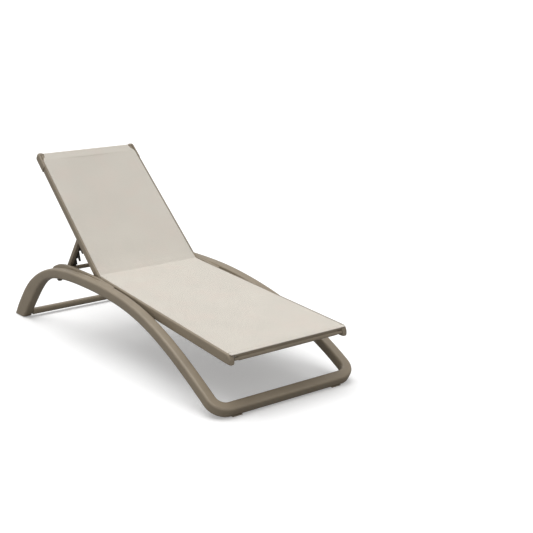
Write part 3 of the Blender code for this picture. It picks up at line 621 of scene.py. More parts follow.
# ---- dressing ----------------------------------------------------------------------
class Dresser:
    """Gives pieces their finish and body, and hides the CAD nodes that they stand for."""

    merge_within = 0.00002
    flat_within = math.radians(1.5)
    rounded_past = math.radians(40)
    edge_steps = 3

    def __init__(self, finishes: Finishes, nodes: dict[str, bpy.types.Object]) -> None:
        """Keep the materials and CAD nodes.

        Args:
            finishes: the built materials.
            nodes: CAD node name to its object.
        """
        self.finishes = finishes
        self.nodes = nodes
        self.dressed: set[str] = set()

    def paint(self, piece: bpy.types.Object, material: bpy.types.Material) -> None:
        """Replace all of a piece's materials by one."""
        piece.data.materials.clear()
        piece.data.materials.append(material)

    def stand_for(self, piece: bpy.types.Object, body: Body, slot: Slot,
                  nodes: Sequence[str] = ()) -> bpy.types.Object:
        """Finish a new piece, let it ride, and hide the CAD nodes that it stands for.

        Args:
            piece: the new piece.
            body: the body that it rides on.
            slot: the record's material slot.
            nodes: CAD nodes that it replaces.

        Returns:
            The piece.
        """
        self.paint(piece, self.finishes.by_slot[slot])
        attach(piece, body.value)
        if nodes:
            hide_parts(*nodes)
            self.dressed.update(nodes)
        LOG.info("%s: %d faces, rides on %s", piece.name, len(piece.data.polygons), body.value)
        return piece

    def keep(self, node: str, slot: Slot) -> None:
        """Show a CAD node as it is, with a finish in its slots."""
        target = self.nodes[node]
        for holder in target.material_slots:
            holder.material = self.finishes.by_slot[slot]
        self.dressed.add(node)
        LOG.info("%s: kept, %s", node, slot.value)

    def soften(self, node: str, body: Body, slot: Slot, edge: float) -> bpy.types.Object:
        """Copy a flat-sided CAD node, merge it, and round its edges with a bevel.

        Args:
            node: the CAD node.
            body: the body that it rides on.
            slot: the record's material slot.
            edge: radius of the rounded edges.

        Returns:
            The new piece, which stands for the node.
        """
        bm = bmesh.new()
        bm.from_mesh(self.nodes[node].data)
        bmesh.ops.remove_doubles(bm, verts=bm.verts[:], dist=self.merge_within)
        bmesh.ops.dissolve_limit(bm, angle_limit=self.flat_within, verts=bm.verts[:],
                                 edges=bm.edges[:])
        bmesh.ops.recalc_face_normals(bm, faces=bm.faces[:])
        name = f"{node}_moulding"
        mesh = bpy.data.meshes.new(name)
        bm.to_mesh(mesh)
        bm.free()
        mesh.shade_smooth()
        made = bpy.data.objects.new(name, mesh)
        bpy.context.scene.collection.objects.link(made)
        bevel = made.modifiers.new("edges", "BEVEL")
        bevel.width = edge
        bevel.segments = self.edge_steps
        bevel.limit_method = "ANGLE"
        bevel.angle_limit = self.rounded_past
        bevel.harden_normals = True
        return self.stand_for(made, body, slot, [node])


# ---- floor frame -------------------------------------------------------------------
@dataclass
class FloorFrame:
    """The tube that runs from one rear foot over its arch, round the front and back."""

    front_y: float = -0.9201
    rear_y: float = 0.8994
    glide: float = 0.003
    gap: float = 0.0003
    width: float = 0.045
    depth: float = 0.048
    corner: float = 0.009
    crown: float = 0.0007
    rear_depth: float = 0.085
    foot_length: float = 0.098
    apex: tuple[float, float] = (0.203, 0.3265)
    arch_x: float = 0.320
    front_splay: float = 0.029
    rear_splay: float = 0.015
    splay_front_from: float = -0.137
    splay_rear_from: float = 0.643
    tilt: float = math.radians(30.5)
    loop_radius: float = 0.060
    rear_slope: float = math.radians(50.4)
    crest_reach: float = 0.48
    leg_reach: float = 0.28
    widen_from: float = 0.38
    widen_over: float = 0.42
    glide_edge: float = 0.0006
    bracket_edge: float = 0.0016
    spacer_edge: float = 0.0010

    def bar_height(self) -> float:
        """Height of the floor bar's centre line, so that the tilted tube stands on its glides."""
        return (self.glide + self.gap + (self.depth / 2 - self.corner) * math.cos(self.tilt)
                + (self.width / 2 - self.corner) * math.sin(self.tilt) + self.corner)

    def front_end(self) -> tuple[float, float]:
        """Y and Z where the arch meets the corner bend."""
        return (self.front_y + self.loop_radius * math.cos(self.tilt),
                self.bar_height() + self.loop_radius * math.sin(self.tilt))

    def splay(self, y: np.ndarray) -> np.ndarray:
        """Distance of the arch's centre line from the middle plane, at each Y."""
        front = smooth_step((self.splay_front_from - y)
                            / (self.splay_front_from - self.front_end()[0]))
        rear = smooth_step((y - self.splay_rear_from) / (self.rear_y - self.splay_rear_from))
        return self.arch_x + self.front_splay * front + self.rear_splay * rear

    def arch(self) -> tuple[np.ndarray, np.ndarray, np.ndarray]:
        """Stations of one arch from the front corner to the rear foot.

        In front of the apex the drop is a power of the distance from it, tangent to the tilted
        corner.  Behind it the line is a cubic Bezier down to the foot, and the tube widens.

        Returns:
            Centres (n, 3) for the right side, directions of the depth (n, 3), depths (n).
        """
        front_y, front_z = self.front_end()
        span, drop = self.apex[0] - front_y, self.apex[1] - front_z
        power = math.tan(self.tilt) * span / drop
        away = np.linspace(1, 0, 64, endpoint=False)
        front = np.stack((self.apex[0] - span * away, self.apex[1] - drop * away ** power), axis=1)
        handles = np.array((
            self.apex, (self.apex[0] + self.crest_reach, self.apex[1]),
            (self.rear_y - self.leg_reach * math.cos(self.rear_slope),
             self.glide + self.leg_reach * math.sin(self.rear_slope)),
            (self.rear_y, self.glide + self.gap)))
        t = np.append(np.linspace(0, 21 / 22, 76), 1.0)
        line = np.concatenate((front, bezier_weights(t) @ handles))
        tangent = unit(np.gradient(line, axis=0))
        tangent[0] = (math.cos(self.tilt), math.sin(self.tilt))
        tangent[-1] = (1, 0)
        widen = smooth_step((t - self.widen_from) / self.widen_over)
        depth = np.concatenate((np.full(len(front), self.depth),
                                self.depth + (self.rear_depth - self.depth) * widen))
        depth[-1] = self.foot_length
        deep = np.stack((np.zeros(len(line)), -tangent[:, 1], tangent[:, 0]), axis=1)
        deep[-1] = (0, 1, 0)
        centres = np.column_stack((self.splay(line[:, 0]), line))
        return centres, deep, depth

    def tube(self) -> np.ndarray:
        """The whole tube as one grid: left arch, both corner bends and floor bar, right arch."""
        centres, deep, depth = self.arch()
        mirror = np.array((-1.0, 1.0, 1.0))
        up_leg = np.array((0, math.cos(self.tilt), math.sin(self.tilt)))
        bar_deep = np.array((0, -math.sin(self.tilt), math.cos(self.tilt)))
        reach = self.arch_x + self.front_splay - self.loop_radius
        turn = np.linspace(0, np.pi / 2, 22)[1:]
        out = np.outer(np.cos(turn), (1, 0, 0)) - np.outer(np.sin(turn), up_leg)
        bend = (np.array((reach, self.front_y, self.bar_height())) + up_leg * self.loop_radius
                + out * self.loop_radius)
        path = np.concatenate((centres[::-1] * mirror, bend * mirror, bend[::-1], centres))
        across = np.concatenate((np.tile((-1.0, 0, 0), (len(centres), 1)), out * mirror, out[::-1],
                                 np.tile((1.0, 0, 0), (len(centres), 1))))
        down = np.concatenate((deep[::-1], np.tile(bar_deep, (2 * len(bend), 1)), deep))
        sizes = np.concatenate((depth[::-1], np.full(2 * len(bend), self.depth), depth))
        outline = rounded_section(np.full(len(path), self.width), sizes, self.corner, self.crown)
        return sweep(path, across, down, outline)

    def build(self, dresser: Dresser) -> None:
        """Build the tube and dress the small parts of the floor frame."""
        tube = mesh_object("floor_frame_tube", self.tube(), sharp=60.0)
        dresser.stand_for(tube, Body.FRAME, Slot.RESIN,
                          ["side_arch_left", "side_arch_right", "front_floor_bar"])
        for side in Side:
            for node in ("front_glide", "rear_glide"):
                dresser.soften(f"{node}_{side.word}", Body.FRAME, Slot.RESIN, self.glide_edge)
            for node, slot, edge in (("stack_bumper", Slot.RUBBER, self.glide_edge),
                                     ("frame_bracket", Slot.RESIN, self.bracket_edge),
                                     ("rail_spacer", Slot.RESIN, self.spacer_edge)):
                dresser.soften(f"{node}_{side.word}", Body.FRAME, slot, edge)


# ---- round bars --------------------------------------------------------------------
@dataclass
class RoundBars:
    """Straight bars between the two sides, each with a small rounded rim at its ends."""

    rim: float = 0.0015

    def bar(self, node: str, radius: float | None = None) -> np.ndarray:
        """A bar as long and as thick as a CAD node, along X.

        The radius at the ends is less the rim, along a quarter circle.

        Args:
            node: the CAD node.
            radius: its radius, where the node's box isn't square.

        Returns:
            Grid of the bar.
        """
        low, high = (np.array(corner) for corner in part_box(node))
        radius = radius or (high[2] - low[2]) / 2
        turn = np.linspace(0, np.pi / 2, 5)
        start = self.rim * (1 - np.sin(turn))
        along = np.concatenate((low[0] + start[::-1], high[0] - start))
        rim = radius - self.rim * (1 - np.cos(turn))
        radii = np.concatenate((rim[::-1], rim))
        order = np.argsort(along, kind="stable")
        centre = (low + high) / 2
        path = np.column_stack((along[order], np.full(len(along), centre[1]),
                                np.full(len(along), centre[2])))
        return sweep(path, np.array((0, 1.0, 0)), np.array((0, 0, 1.0)),
                     circle_section(radii[order]))

    def build(self, dresser: Dresser) -> None:
        """Build every bar that is one plain cylinder."""
        bars = {"rear_floor_bar": Body.FRAME, "hinge_crossbar": Body.FRAME,
                "prop_rest_bar": Body.FRAME, "seat_mid_crossbar": Body.FRAME,
                "back_top_bar": Body.BACK, "back_lower_bar": Body.BACK, "prop_tie_bar": Body.PROP}
        for node, body in bars.items():
            piece = mesh_object(f"{node}_tube", self.bar(node), sharp=60.0)
            dresser.stand_for(piece, body, Slot.RESIN, [node])


# ---- rails -------------------------------------------------------------------------
@dataclass
class RailProfile:
    """Section of a rail: a rounded box with a raised outer lip and a keyhole groove."""

    height: float
    outside: float = 0.010
    inside: float = 0.018
    corner: float = 0.007
    recess: float = 0.002
    groove_width: float = 0.003
    groove_depth: float = 0.009
    pocket: float = 0.004

    def outline(self, proud: float = 0.0) -> np.ndarray:
        """Points (u outwards, v up) about the groove's centre.

        Every round is an arc of a circle, and the pocket is a circle cut open by the mouth.

        Args:
            proud: how much thicker the outer face and the underside are.

        Returns:
            Array (1, points, 2).
        """
        lip, deck, bottom = self.height / 2, self.height / 2 - self.recess, -self.height / 2 - proud
        outer, inner, half = self.outside + proud, -self.inside, self.groove_width / 2
        pocket = self.height / 2 - self.groove_depth - self.pocket
        mouth = math.degrees(math.asin(half / self.pocket))
        radius, small = self.corner, self.corner / 2

        def arc(u: float, v: float, r: float, start: float, end: float, steps: int) -> np.ndarray:
            """Points of an arc, in degrees."""
            turn = np.radians(np.linspace(start, end, steps + 1))
            return np.stack((u + r * np.cos(turn), v + r * np.sin(turn)), axis=1)

        return np.concatenate((
            arc(outer - radius, bottom + radius, radius, -90, 0, 9),
            arc(outer - radius, lip - radius, radius, 0, 90, 9),
            arc(half + 0.0006, lip - 0.0006, 0.0006, 90, 180, 2),
            arc(0, pocket, self.pocket, 90 - mouth, -270 + mouth, 14),
            arc(-half - 0.0005, deck - 0.0005, 0.0005, 0, 90, 2),
            arc(inner + small, deck - small, small, 90, 180, 6),
            arc(inner + radius, bottom + radius, radius, 180, 270, 9)))[None]


@dataclass
class Rails:
    """Seat and back rails with their moulded ends, in the frames of the seat and the back."""

    hinge: tuple[float, float] = (0.153, 0.333)
    seat_slope: float = math.radians(4.574)
    back_angle: float = math.radians(41.3)
    seat_length: float = 1.104
    back_length: float = 0.790
    half_foot: float = 0.295
    half_hinge: float = 0.268
    half_top: float = 0.260
    seat_cap: float = 0.026
    seat_rear: float = 0.024
    lug: float = 0.045
    top_cap: float = 0.095
    proud: float = 0.003
    end_plug: float = 0.016
    seat_end_turn: float = 0.96
    seat_end_drop: float = 0.34
    seat_end_thinner: float = 0.72
    seat_end_narrower: float = 0.30
    back_end_turn: float = 0.94
    back_end_thinner: float = 1.25
    pressed_from: float = 0.90
    pressed_over: float = 0.055
    pressed_by: float = 0.36
    lug_edge: float = 0.0012
    hem_bar_edge: float = 0.0010
    gap: float = 0.0003
    seat: RailProfile = field(default_factory=lambda: RailProfile(0.045))
    back: RailProfile = field(default_factory=lambda: RailProfile(0.038))

    def half(self, distance: np.ndarray, seat: bool) -> np.ndarray:
        """Half width of the sling at a distance from the hinge, down the seat or up the back."""
        length, end = ((self.seat_length, self.half_foot) if seat
                       else (self.back_length, self.half_top))
        return self.half_hinge + (end - self.half_hinge) * distance / length

    def world(self, points: np.ndarray, seat: bool) -> np.ndarray:
        """Points (x, distance from the hinge, height) of the seat or back, in the row's frame."""
        local = points * np.array((1, -1 if seat else 1, 1))
        turn = rotation_x(self.seat_slope if seat else self.back_angle)
        return local @ turn.T + np.array((0, *self.hinge))

    def side_view(self, distance: np.ndarray, height: np.ndarray, seat: bool) -> np.ndarray:
        """Y and Z (n, 2) of points at distances from the hinge and heights above the rails."""
        flat = np.column_stack((np.zeros(len(distance)), distance, height))
        return self.world(flat, seat)[:, 1:]

    def prism(self, side: Side, start: float, end: float, seat: bool,
              proud: float = 0.0) -> np.ndarray:
        """A rail of constant section between two distances from the hinge.

        Args:
            side: which rail.
            start: nearer end.
            end: further end.
            seat: whether it belongs to the seat.
            proud: how much thicker the section is.

        Returns:
            Grid in the row's frame.
        """
        distance = np.linspace(start, end, 12)
        zero = np.zeros_like(distance)
        centres = np.column_stack((side.value * self.half(distance, seat), distance, zero))
        profile = (self.seat if seat else self.back).outline(proud)
        return self.world(sweep(centres, np.array((side.value, 0, 0)), np.array((0, 0, 1.0)),
                                profile), seat)

    def seat_end(self, side: Side) -> np.ndarray:
        """The rounded plug of a seat rail, curled down: its size shrinks along a quarter circle."""
        t = np.linspace(0, 1, 20)
        curl = 1 - np.sqrt(1 - (self.seat_end_turn * t) ** 2)
        start = self.seat_length - self.seat_cap + self.gap
        distance = start + (self.seat_length - start) * t
        width = self.seat.outside + self.seat.inside
        middle = (self.seat.outside - self.seat.inside) / 2
        centres = np.column_stack((side.value * (self.half(distance, True) + middle), distance,
                                   -self.seat.height * self.seat_end_drop * curl))
        outline = rounded_section(width * (1 - self.seat_end_narrower * curl),
                                  self.seat.height * (1 - self.seat_end_thinner * curl),
                                  self.seat.corner)
        return self.world(sweep(centres, np.array((side.value, 0, 0)), np.array((0, 0, 1.0)),
                                outline), True)

    def back_end(self, side: Side) -> np.ndarray:
        """The rounded end of a back rail."""
        t = np.linspace(0, 1, 20)
        curl = 1 - np.sqrt(1 - (self.back_end_turn * t) ** 2)
        start = self.back_length - self.end_plug + self.gap
        distance = start + (self.back_length - start) * t
        middle = (self.back.outside + self.proud - self.back.inside) / 2
        centres = np.column_stack((side.value * (self.half(distance, False) + middle), distance,
                                   np.full_like(t, -self.proud / 2)))
        width = self.back.outside + self.back.inside + self.proud - self.end_plug * curl
        height = self.back.height + self.proud - self.back_end_thinner * self.end_plug * curl
        return self.world(sweep(centres, np.array((side.value, 0, 0)), np.array((0, 0, 1.0)),
                                rounded_section(width, height, self.back.corner)), False)

    def front_bar(self) -> np.ndarray:
        """The bar between the seat rails' ends, pressed flat where it meets them."""
        low, high = (np.array(corner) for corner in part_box("seat_front_crossbar"))
        along = np.concatenate((np.linspace(-1, -self.pressed_from, 14),
                                np.linspace(self.pressed_from, 1, 14)))
        squeeze = smooth_step((np.abs(along) - self.pressed_from) / self.pressed_over)
        scale = 1 - self.pressed_by * squeeze
        reach, radius = high[0], (high[1] - low[1]) / 2
        centre = (low + high) / 2
        path = np.column_stack((along * reach, np.full(len(along), centre[1]),
                                np.full(len(along), centre[2])))
        outline = circle_section(np.full(len(along), radius))
        outline[..., 1] *= scale[:, None]
        tilt = rotation_x(self.seat_slope)
        return sweep(path, tilt @ np.array((0, 1.0, 0)), tilt @ np.array((0, 0, 1.0)), outline)

    def build(self, dresser: Dresser) -> None:
        """Build both rails of the seat and of the back, with their ends."""
        for side in Side:
            word = side.word
            pieces = (
                ("seat_rail", self.prism(side, self.seat_rear, self.seat_length - self.seat_cap,
                                         True), Body.FRAME),
                ("seat_rail_cap", self.seat_end(side), Body.FRAME),
                ("back_rail", self.prism(side, self.lug, self.back_length - self.top_cap, False),
                 Body.BACK),
                ("back_top_cap", self.prism(side, self.back_length - self.top_cap + self.gap,
                                            self.back_length - self.end_plug, False, self.proud),
                 Body.BACK),
                ("back_end_plug", self.back_end(side), Body.BACK))
            for node, grid, body in pieces:
                made = mesh_object(f"{node}_{word}_shell", grid)
                dresser.stand_for(made, body, Slot.RESIN, [f"{node}_{word}"])
            dresser.soften(f"back_hinge_lug_{word}", Body.BACK, Slot.RESIN, self.lug_edge)
        bar = mesh_object("seat_front_crossbar_tube", self.front_bar(), sharp=60.0)
        dresser.stand_for(bar, Body.FRAME, Slot.RESIN, ["seat_front_crossbar"])
        dresser.soften("seat_hem_bar", Body.FRAME, Slot.RESIN, self.hem_bar_edge)


# ---- sling -------------------------------------------------------------------------
@dataclass
class Sling:
    """The stretched sheet: front hem, seat, crease at the hinge, back, and the sleeve on top."""

    rails: Rails
    thickness: float = 0.0012
    hem: float = 0.0022
    front_setback: float = 0.0020
    seat_sag: float = 0.0055
    back_sag: float = 0.0040
    tuck: float = 0.0042
    clearance: float = 0.0006
    crease_rise: float = 0.0012
    crease_seat: float = 0.009
    crease_back: float = 0.019
    crease_pull: float = 0.42
    lug_reach: float = 0.055
    lug_run_out: float = 0.030
    blend_on_seat: float = 0.030
    blend_on_back: float = 0.050
    bar_lead: float = 0.05
    sleeve_turn: float = 0.62
    front_rows: tuple[float, float] = (0.0165, 0.0205)
    sleeve_rows: tuple[float, float] = (0.0405, 0.0445)
    stitch_pitch: float = 0.0042
    stitch_length: float = 0.0034
    stitch_radius: float = 0.00042
    hem_radius: float = 0.0012
    sleeve_hem: float = 0.034
    bar_setback: float = 0.0125
    bar_rise: float = 0.004
    bar_radius: float = 0.010

    def path(self) -> tuple[np.ndarray, np.ndarray, np.ndarray, np.ndarray]:
        """The sling's side view, from the folded front hem to the end of the top sleeve.

        The seat and the back are straight lines on the rails' decks.  A cubic Bezier joins them
        at the hinge, a half circle folds the front hem under, and an arc carries the sheet
        round the top bar.

        Returns:
            Y and Z (n, 2), half widths (n), share of the sag (n), and length along it (n).
        """
        rails = self.rails
        lift = self.thickness / 2 + self.clearance
        seat_level = rails.seat.height / 2 - rails.seat.recess + lift
        back_level = rails.back.height / 2 - rails.back.recess + lift
        front = rails.seat_length - self.front_setback
        radius = self.hem_radius

        fold = np.linspace(-np.pi / 2, np.pi / 2, 12)
        under_y = np.linspace(front - self.hem, front - radius, 8, endpoint=False)
        seat_y = np.concatenate((under_y, front - radius + radius * np.cos(fold)))
        seat_z = np.concatenate((np.full(8, seat_level - 2 * radius),
                                 seat_level - radius + radius * np.sin(fold)))
        run = np.linspace(front - radius, self.crease_seat, 150)[1:]
        seat_y = np.concatenate((seat_y, run))
        seat_z = np.concatenate((seat_z, seat_level + self.over_lugs(run)))
        seat_half = rails.half(seat_y, True)
        on_seat = rails.side_view(seat_y, seat_z, True)

        centre = rails.back_length - self.bar_setback
        wrap = self.bar_radius + self.clearance + self.thickness / 2
        lead = centre - self.bar_lead
        run = np.linspace(self.crease_back, lead, 120)
        turn = np.linspace(np.pi / 2, -np.pi * self.sleeve_turn, 26)
        ramp = np.linspace(0, 1, 9)[1:-1]
        top = self.bar_rise + wrap
        ramp_z = back_level + (top - back_level) * smooth_step(ramp)
        tail = np.linspace(0, 1, 8)[1:]
        last_y = centre + wrap * math.cos(turn[-1])
        last_z = self.bar_rise + wrap * math.sin(turn[-1])
        back_y = np.concatenate((run, lead + (centre - lead) * ramp,
                                 centre + wrap * np.cos(turn),
                                 last_y - self.sleeve_hem * tail))
        back_z = np.concatenate((back_level + self.over_lugs(run), ramp_z,
                                 self.bar_rise + wrap * np.sin(turn),
                                 last_z + (back_level - 0.0022 - last_z) * smooth_step(tail)))
        back_half = rails.half(np.minimum(back_y, rails.back_length), False)
        on_back = rails.side_view(back_y, back_z, False)

        start, end = on_seat[-1], on_back[0]
        lead_in = unit(on_seat[-1] - on_seat[-2])
        lead_out = unit(on_back[1] - on_back[0])
        reach = np.linalg.norm(end - start) * self.crease_pull
        handles = np.array((start, start + lead_in * reach, end - lead_out * reach, end))
        t = np.linspace(0, 1, 26)[1:-1]
        crease = bezier_weights(t) @ handles

        line = np.concatenate((on_seat, crease, on_back))
        between = np.linspace(seat_half[-1], back_half[0], 26)[1:-1]
        half = np.concatenate((seat_half, between, back_half))
        past = np.concatenate((np.zeros(len(on_seat) + len(crease) + len(run)),
                               smooth_step(ramp), np.ones(len(turn) + len(tail))))
        inner = rails.back.inside + 0.0012
        half = half - past * inner
        under = np.zeros(len(line))
        under[:8 + len(fold) // 2] = 1.0
        half = half - under * (rails.seat.inside + 0.002)
        step = np.linalg.norm(np.diff(line, axis=0), axis=1)
        length = np.concatenate(((0.0,), np.cumsum(step)))
        count = len(line)
        share = np.ones(count)
        hem_end = 8 + len(fold)
        share[:hem_end] = 0.0
        spread = length - length[hem_end]
        share = share * smooth_step(spread / 0.16)
        to_crease = np.abs(length - length[len(on_seat) + len(crease) // 2])
        share = share * (0.25 + 0.75 * smooth_step(to_crease / 0.12))
        to_top = length[len(on_seat) + len(crease) + len(run) + len(ramp)] - length
        share = share * smooth_step(to_top / 0.14)
        return line, half, share * (1 - past) * (1 - under), length

    def over_lugs(self, distance: np.ndarray) -> np.ndarray:
        """How far the sheet rides up over the hinge lugs: a smooth step near the hinge."""
        return self.crease_rise * smooth_step((self.lug_reach - distance) / self.lug_run_out)

    def sheet(self) -> tuple[np.ndarray, np.ndarray]:
        """The sling's middle surface.

        Across the sheet, the height is the path's, less a sag that falls from 0 at the rails to
        its most in the middle as 1 - u^2, with each edge turned down into its groove.

        Returns:
            Grid (stations, points, 3) and its cloth coordinates (stations, points, 2).
        """
        line, half, share, length = self.path()
        direction = unit(np.gradient(line, axis=0))
        normal = np.stack((-direction[:, 1], direction[:, 0]), axis=1)
        spread = np.sin(np.linspace(-np.pi / 2, np.pi / 2, 61))
        spread = 0.55 * np.linspace(-1, 1, 61) + 0.45 * spread
        body = half - self.thickness
        x = body[:, None] * spread
        inner = np.clip((half - self.rails.back.inside) / half, 0.5, 1)[:, None]
        sag_across = 1 - np.clip(np.abs(spread)[None] / inner, 0, 1) ** 2
        deepest = self.seat_sag + (self.back_sag - self.seat_sag) * smooth_step(
            (line[:, 0] - self.rails.hinge[0]) / 0.1)
        drop = deepest[:, None] * share[:, None] * sag_across
        main = np.stack((x, np.broadcast_to(line[:, 0:1], x.shape) - normal[:, 0:1] * drop,
                         np.broadcast_to(line[:, 1:2], x.shape) - normal[:, 1:2] * drop), axis=2)
        turn = np.linspace(0, 1, 5)[1:]
        held = (share > 0) | (self.grooved(line))
        depth = np.where(held, self.tuck, 0.0004)
        edge = []
        for sign in (-1.0, 1.0):
            out = sign * (body[:, None] + self.thickness * np.sin(turn * np.pi / 2))
            down = depth[:, None] * (1 - np.cos(turn * np.pi / 2)) ** 0.8
            ring = np.stack((out, line[:, 0:1] - normal[:, 0:1] * down,
                             line[:, 1:2] - normal[:, 1:2] * down), axis=2)
            edge.append(ring)
        grid = np.concatenate((edge[0][:, ::-1], main, edge[1]), axis=1)
        steps = np.linalg.norm(np.diff(grid, axis=1), axis=2)
        across = np.concatenate((np.zeros((len(grid), 1)), np.cumsum(steps, axis=1)), axis=1)
        across -= across[:, across.shape[1] // 2][:, None]
        cloth = np.stack((across, np.broadcast_to(length[:, None], across.shape)), axis=2)
        return grid, cloth

    def grooved(self, line: np.ndarray) -> np.ndarray:
        """Where the sheet's edge sits in a rail's groove: all but the fold, crease and sleeve."""
        hinge = np.array(self.rails.hinge)
        away = np.linalg.norm(line - hinge, axis=1)
        return (away > 0.06) & (away < self.rails.back_length - 0.04)

    def stitches(self, name: str, distance: float, seat: bool, level: float,
                 half: float) -> bpy.types.Object:
        """A straight row of lockstitches across the sheet.

        A stitch is a thin ellipsoid, its ends dipping into the cloth.

        Args:
            name: name of the piece.
            distance: how far from the hinge the row is.
            seat: whether it is on the seat.
            level: height above the rails' middle.
            half: half length of the row.

        Returns:
            The linked object.
        """
        count = int(2 * half / self.stitch_pitch)
        places = (np.arange(count) + 0.5 - count / 2) * self.stitch_pitch
        t = np.linspace(-1, 1, 7)
        radii = self.stitch_radius * np.sqrt(1 - (0.97 * t) ** 2)
        outline = circle_section(radii, 6)
        dip = 0.0004 * t * t
        base = np.column_stack((t * self.stitch_length / 2, np.full(7, distance), level - dip))
        grids = []
        for place in places:
            centres = base + np.array((place, 0, 0))
            grids.append(self.rails.world(sweep(centres, np.array((0, 1.0, 0)),
                                                np.array((0, 0, 1.0)), outline), seat))
        return joined(name, grids)

    def build(self, dresser: Dresser) -> None:
        """Build the sheet and its stitches."""
        grid, cloth = self.sheet()
        made = mesh_object("sling_sheet", grid, around=False, sharp=180.0)
        mesh = made.data
        layer = mesh.uv_layers.new(name="cloth")
        corners = np.zeros(len(mesh.loops), np.int32)
        mesh.loops.foreach_get("vertex_index", corners)
        layer.data.foreach_set("uv", cloth.reshape(-1, 2)[corners].astype(np.float32).ravel())
        self.face_up(mesh)
        solid = made.modifiers.new("cloth_thickness", "SOLIDIFY")
        solid.thickness = self.thickness
        solid.offset = 0.0
        dresser.paint(made, dresser.finishes.by_slot[Slot.SLING])
        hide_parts("seat_sling", "back_sling")
        dresser.dressed.update(("seat_sling", "back_sling"))
        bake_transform(made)
        rows = []
        seat_top = self.rails.seat.height / 2 - self.rails.seat.recess + self.thickness + 0.0008
        back_top = self.rails.back.height / 2 - self.rails.back.recess + self.thickness + 0.0008
        front = self.rails.seat_length - self.front_setback
        width = self.rails.half_foot - self.rails.seat.inside - 0.004
        for count, back_by in enumerate(self.front_rows, start=1):
            rows.append((self.stitches(f"front_hem_stitches_{count}", front - back_by, True,
                                       seat_top, width), Body.FRAME))
        width = self.rails.half_top - self.rails.back.inside - 0.004
        centre = self.rails.back_length - self.bar_setback
        for count, back_by in enumerate(self.sleeve_rows, start=1):
            rows.append((self.stitches(f"top_sleeve_stitches_{count}", centre - back_by, False,
                                       back_top - 0.0008, width), Body.BACK))
        for row, body in rows:
            dresser.paint(row, dresser.finishes.thread)
            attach(row, body.value)
        width = 2 * (self.rails.half_foot + self.tuck)

    @staticmethod
    def cell_areas(grid: np.ndarray) -> np.ndarray:
        """Area of each cell, half the length of its diagonals' cross product."""
        first = grid[1:, 1:] - grid[:-1, :-1]
        second = grid[1:, :-1] - grid[:-1, 1:]
        return np.linalg.norm(np.cross(first, second), axis=2) / 2

    @staticmethod
    def face_up(mesh: bpy.types.Mesh) -> None:
        """Flip an open sheet whose largest part looks down."""
        normals = np.zeros(len(mesh.polygons) * 3, np.float32)
        mesh.polygons.foreach_get("normal", normals)
        if normals.reshape(-1, 3)[:, 2].mean() < 0:
            mesh.flip_normals()


# ---- prop and small parts ----------------------------------------------------------
@dataclass
class PropAndHardware:
    """The folding prop with its toothed racks, and every pin, screw, rivet and washer."""

    arm_edge: float = 0.0022
    rack_edge: float = 0.0007
    washer_edge: float = 0.0005
    pin_edge: float = 0.0004
    screw_edge: float = 0.0003

    def build(self, dresser: Dresser) -> None:
        """Soften the moulded parts and give the small ones their finish."""
        for side in Side:
            word = side.word
            dresser.soften(f"prop_arm_{word}", Body.PROP, Slot.RESIN, self.arm_edge)
            dresser.soften(f"prop_rack_{word}", Body.PROP, Slot.NYLON, self.rack_edge)
            dresser.soften(f"hinge_washer_{word}", Body.FRAME, Slot.NYLON, self.washer_edge)
            dresser.soften(f"back_hinge_pin_{word}", Body.FRAME, Slot.STEEL, self.pin_edge)
            dresser.soften(f"prop_pivot_pin_{word}", Body.BACK, Slot.STEEL, self.pin_edge)
            dresser.soften(f"seat_rail_screw_{word}", Body.FRAME, Slot.STEEL, self.screw_edge)
            for count in (1, 2):
                for node, body in (("bracket_screw", Body.FRAME), ("rack_rivet", Body.PROP)):
                    dresser.soften(f"{node}_{word}_{count}", body, Slot.STEEL, self.screw_edge)
            for part in ("seat_spline", "back_spline"):
                dresser.keep(f"{part}_{word}", Slot.NYLON)


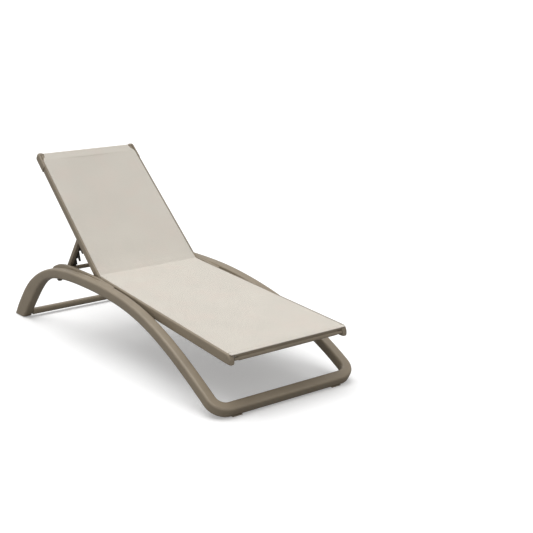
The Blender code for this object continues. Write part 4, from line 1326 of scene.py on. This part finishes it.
# ---- studio ------------------------------------------------------------------------
@dataclass
class Studio:
    """A pale floor, soft light from above and from the front, and the camera."""

    eye: tuple[float, float, float] = (-2.558, -4.191, 1.652)
    turn_deg: tuple[float, float, float] = (75.4, -0.68, -36.95)
    lens: float = 72.4
    sky: float = 0.62
    sun: float = 1.75
    sun_spread: float = math.radians(55)
    sun_from: tuple[float, float, float] = (-0.20, 0.50, 1.9)
    fill: float = 0.34
    fill_from: tuple[float, float, float] = (-0.75, -1.0, 0.25)
    floor_reach: float = 600.0
    floor_colour: float = 0.86
    floor_bounce: float = 0.28
    floor_lift: float = 0.22

    def floor(self) -> None:
        """A very large flat floor.

        The camera sees it paler than it throws light back, and faintly glowing, so that the
        part's undersides stay dark over a nearly white ground.
        """
        graph = Graph("studio_floor")
        seen = graph.node("ShaderNodeLightPath").outputs["Is Camera Ray"]
        graph.dress({"Base Color": graph.blend(seen, grey(self.floor_bounce),
                                               grey(self.floor_colour)),
                     "Emission Color": grey(1.0),
                     "Emission Strength": graph.math("MULTIPLY", seen, self.floor_lift),
                     "Roughness": 0.9, "Specular IOR Level": 0.0})
        side = np.linspace(-self.floor_reach, self.floor_reach, 5)
        grid = np.stack(np.meshgrid(side, side, indexing="ij") + [np.zeros((5, 5))], axis=2)
        made = mesh_object("studio_floor", grid, around=False)
        made.data.materials.append(graph.material)

    def lights(self) -> None:
        """Even sky light, a large soft light overhead and a weak one from the front, untoned."""
        world = bpy.data.worlds.new("studio_sky")
        world.use_nodes = True
        background = world.node_tree.nodes["Background"]
        background.inputs["Color"].default_value = (1.0, 1.0, 1.0, 1.0)
        background.inputs["Strength"].default_value = self.sky
        bpy.context.scene.world = world
        for name, energy, source in (("overhead_softbox", self.sun, self.sun_from),
                                     ("front_fill", self.fill, self.fill_from)):
            light = bpy.data.lights.new(name, "SUN")
            light.energy = energy
            light.angle = self.sun_spread
            holder = bpy.data.objects.new(name, light)
            bpy.context.scene.collection.objects.link(holder)
            holder.rotation_euler = (-Vector(source)).to_track_quat("-Z", "Y").to_euler()
        bpy.context.scene.view_settings.view_transform = "Standard"

    def camera(self) -> None:
        """The camera at the standing viewer's place."""
        data = bpy.data.cameras.new("viewer")
        data.lens = self.lens
        data.sensor_width = 36.0
        data.clip_end = 3000.0
        made = bpy.data.objects.new("viewer", data)
        bpy.context.scene.collection.objects.link(made)
        pitch, roll, heading = (math.radians(angle) for angle in self.turn_deg)
        turn = (Matrix.Rotation(heading, 4, "Z") @ Matrix.Rotation(pitch, 4, "X")
                @ Matrix.Rotation(roll, 4, "Z"))
        made.matrix_world = Matrix.Translation(self.eye) @ turn
        bpy.context.scene.camera = made

    def build(self) -> None:
        """Set the floor, the lights and the camera."""
        self.floor()
        self.lights()
        self.camera()


def write_sizes() -> None:
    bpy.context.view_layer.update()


def main() -> None:
    """Load the frame, build each sub-assembly in order and report it."""
    logging.basicConfig(level=logging.INFO, format="%(name)s %(message)s", stream=sys.stdout)
    for old in list(bpy.data.objects):
        bpy.data.objects.remove(old, do_unlink=True)
    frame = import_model()
    studio = Studio()
    studio.build()
    dresser = Dresser(Finishes().build(), frame["nodes"])
    rails = Rails()
    FloorFrame().build(dresser)
    RoundBars().build(dresser)
    rails.build(dresser)
    Sling(rails).build(dresser)
    PropAndHardware().build(dresser)
    missed = sorted(set(frame["nodes"]) - dresser.dressed)
    if missed:
        LOG.warning("no finish for %s", ", ".join(missed))
    write_sizes()


if __name__ == "__main__":
    main()
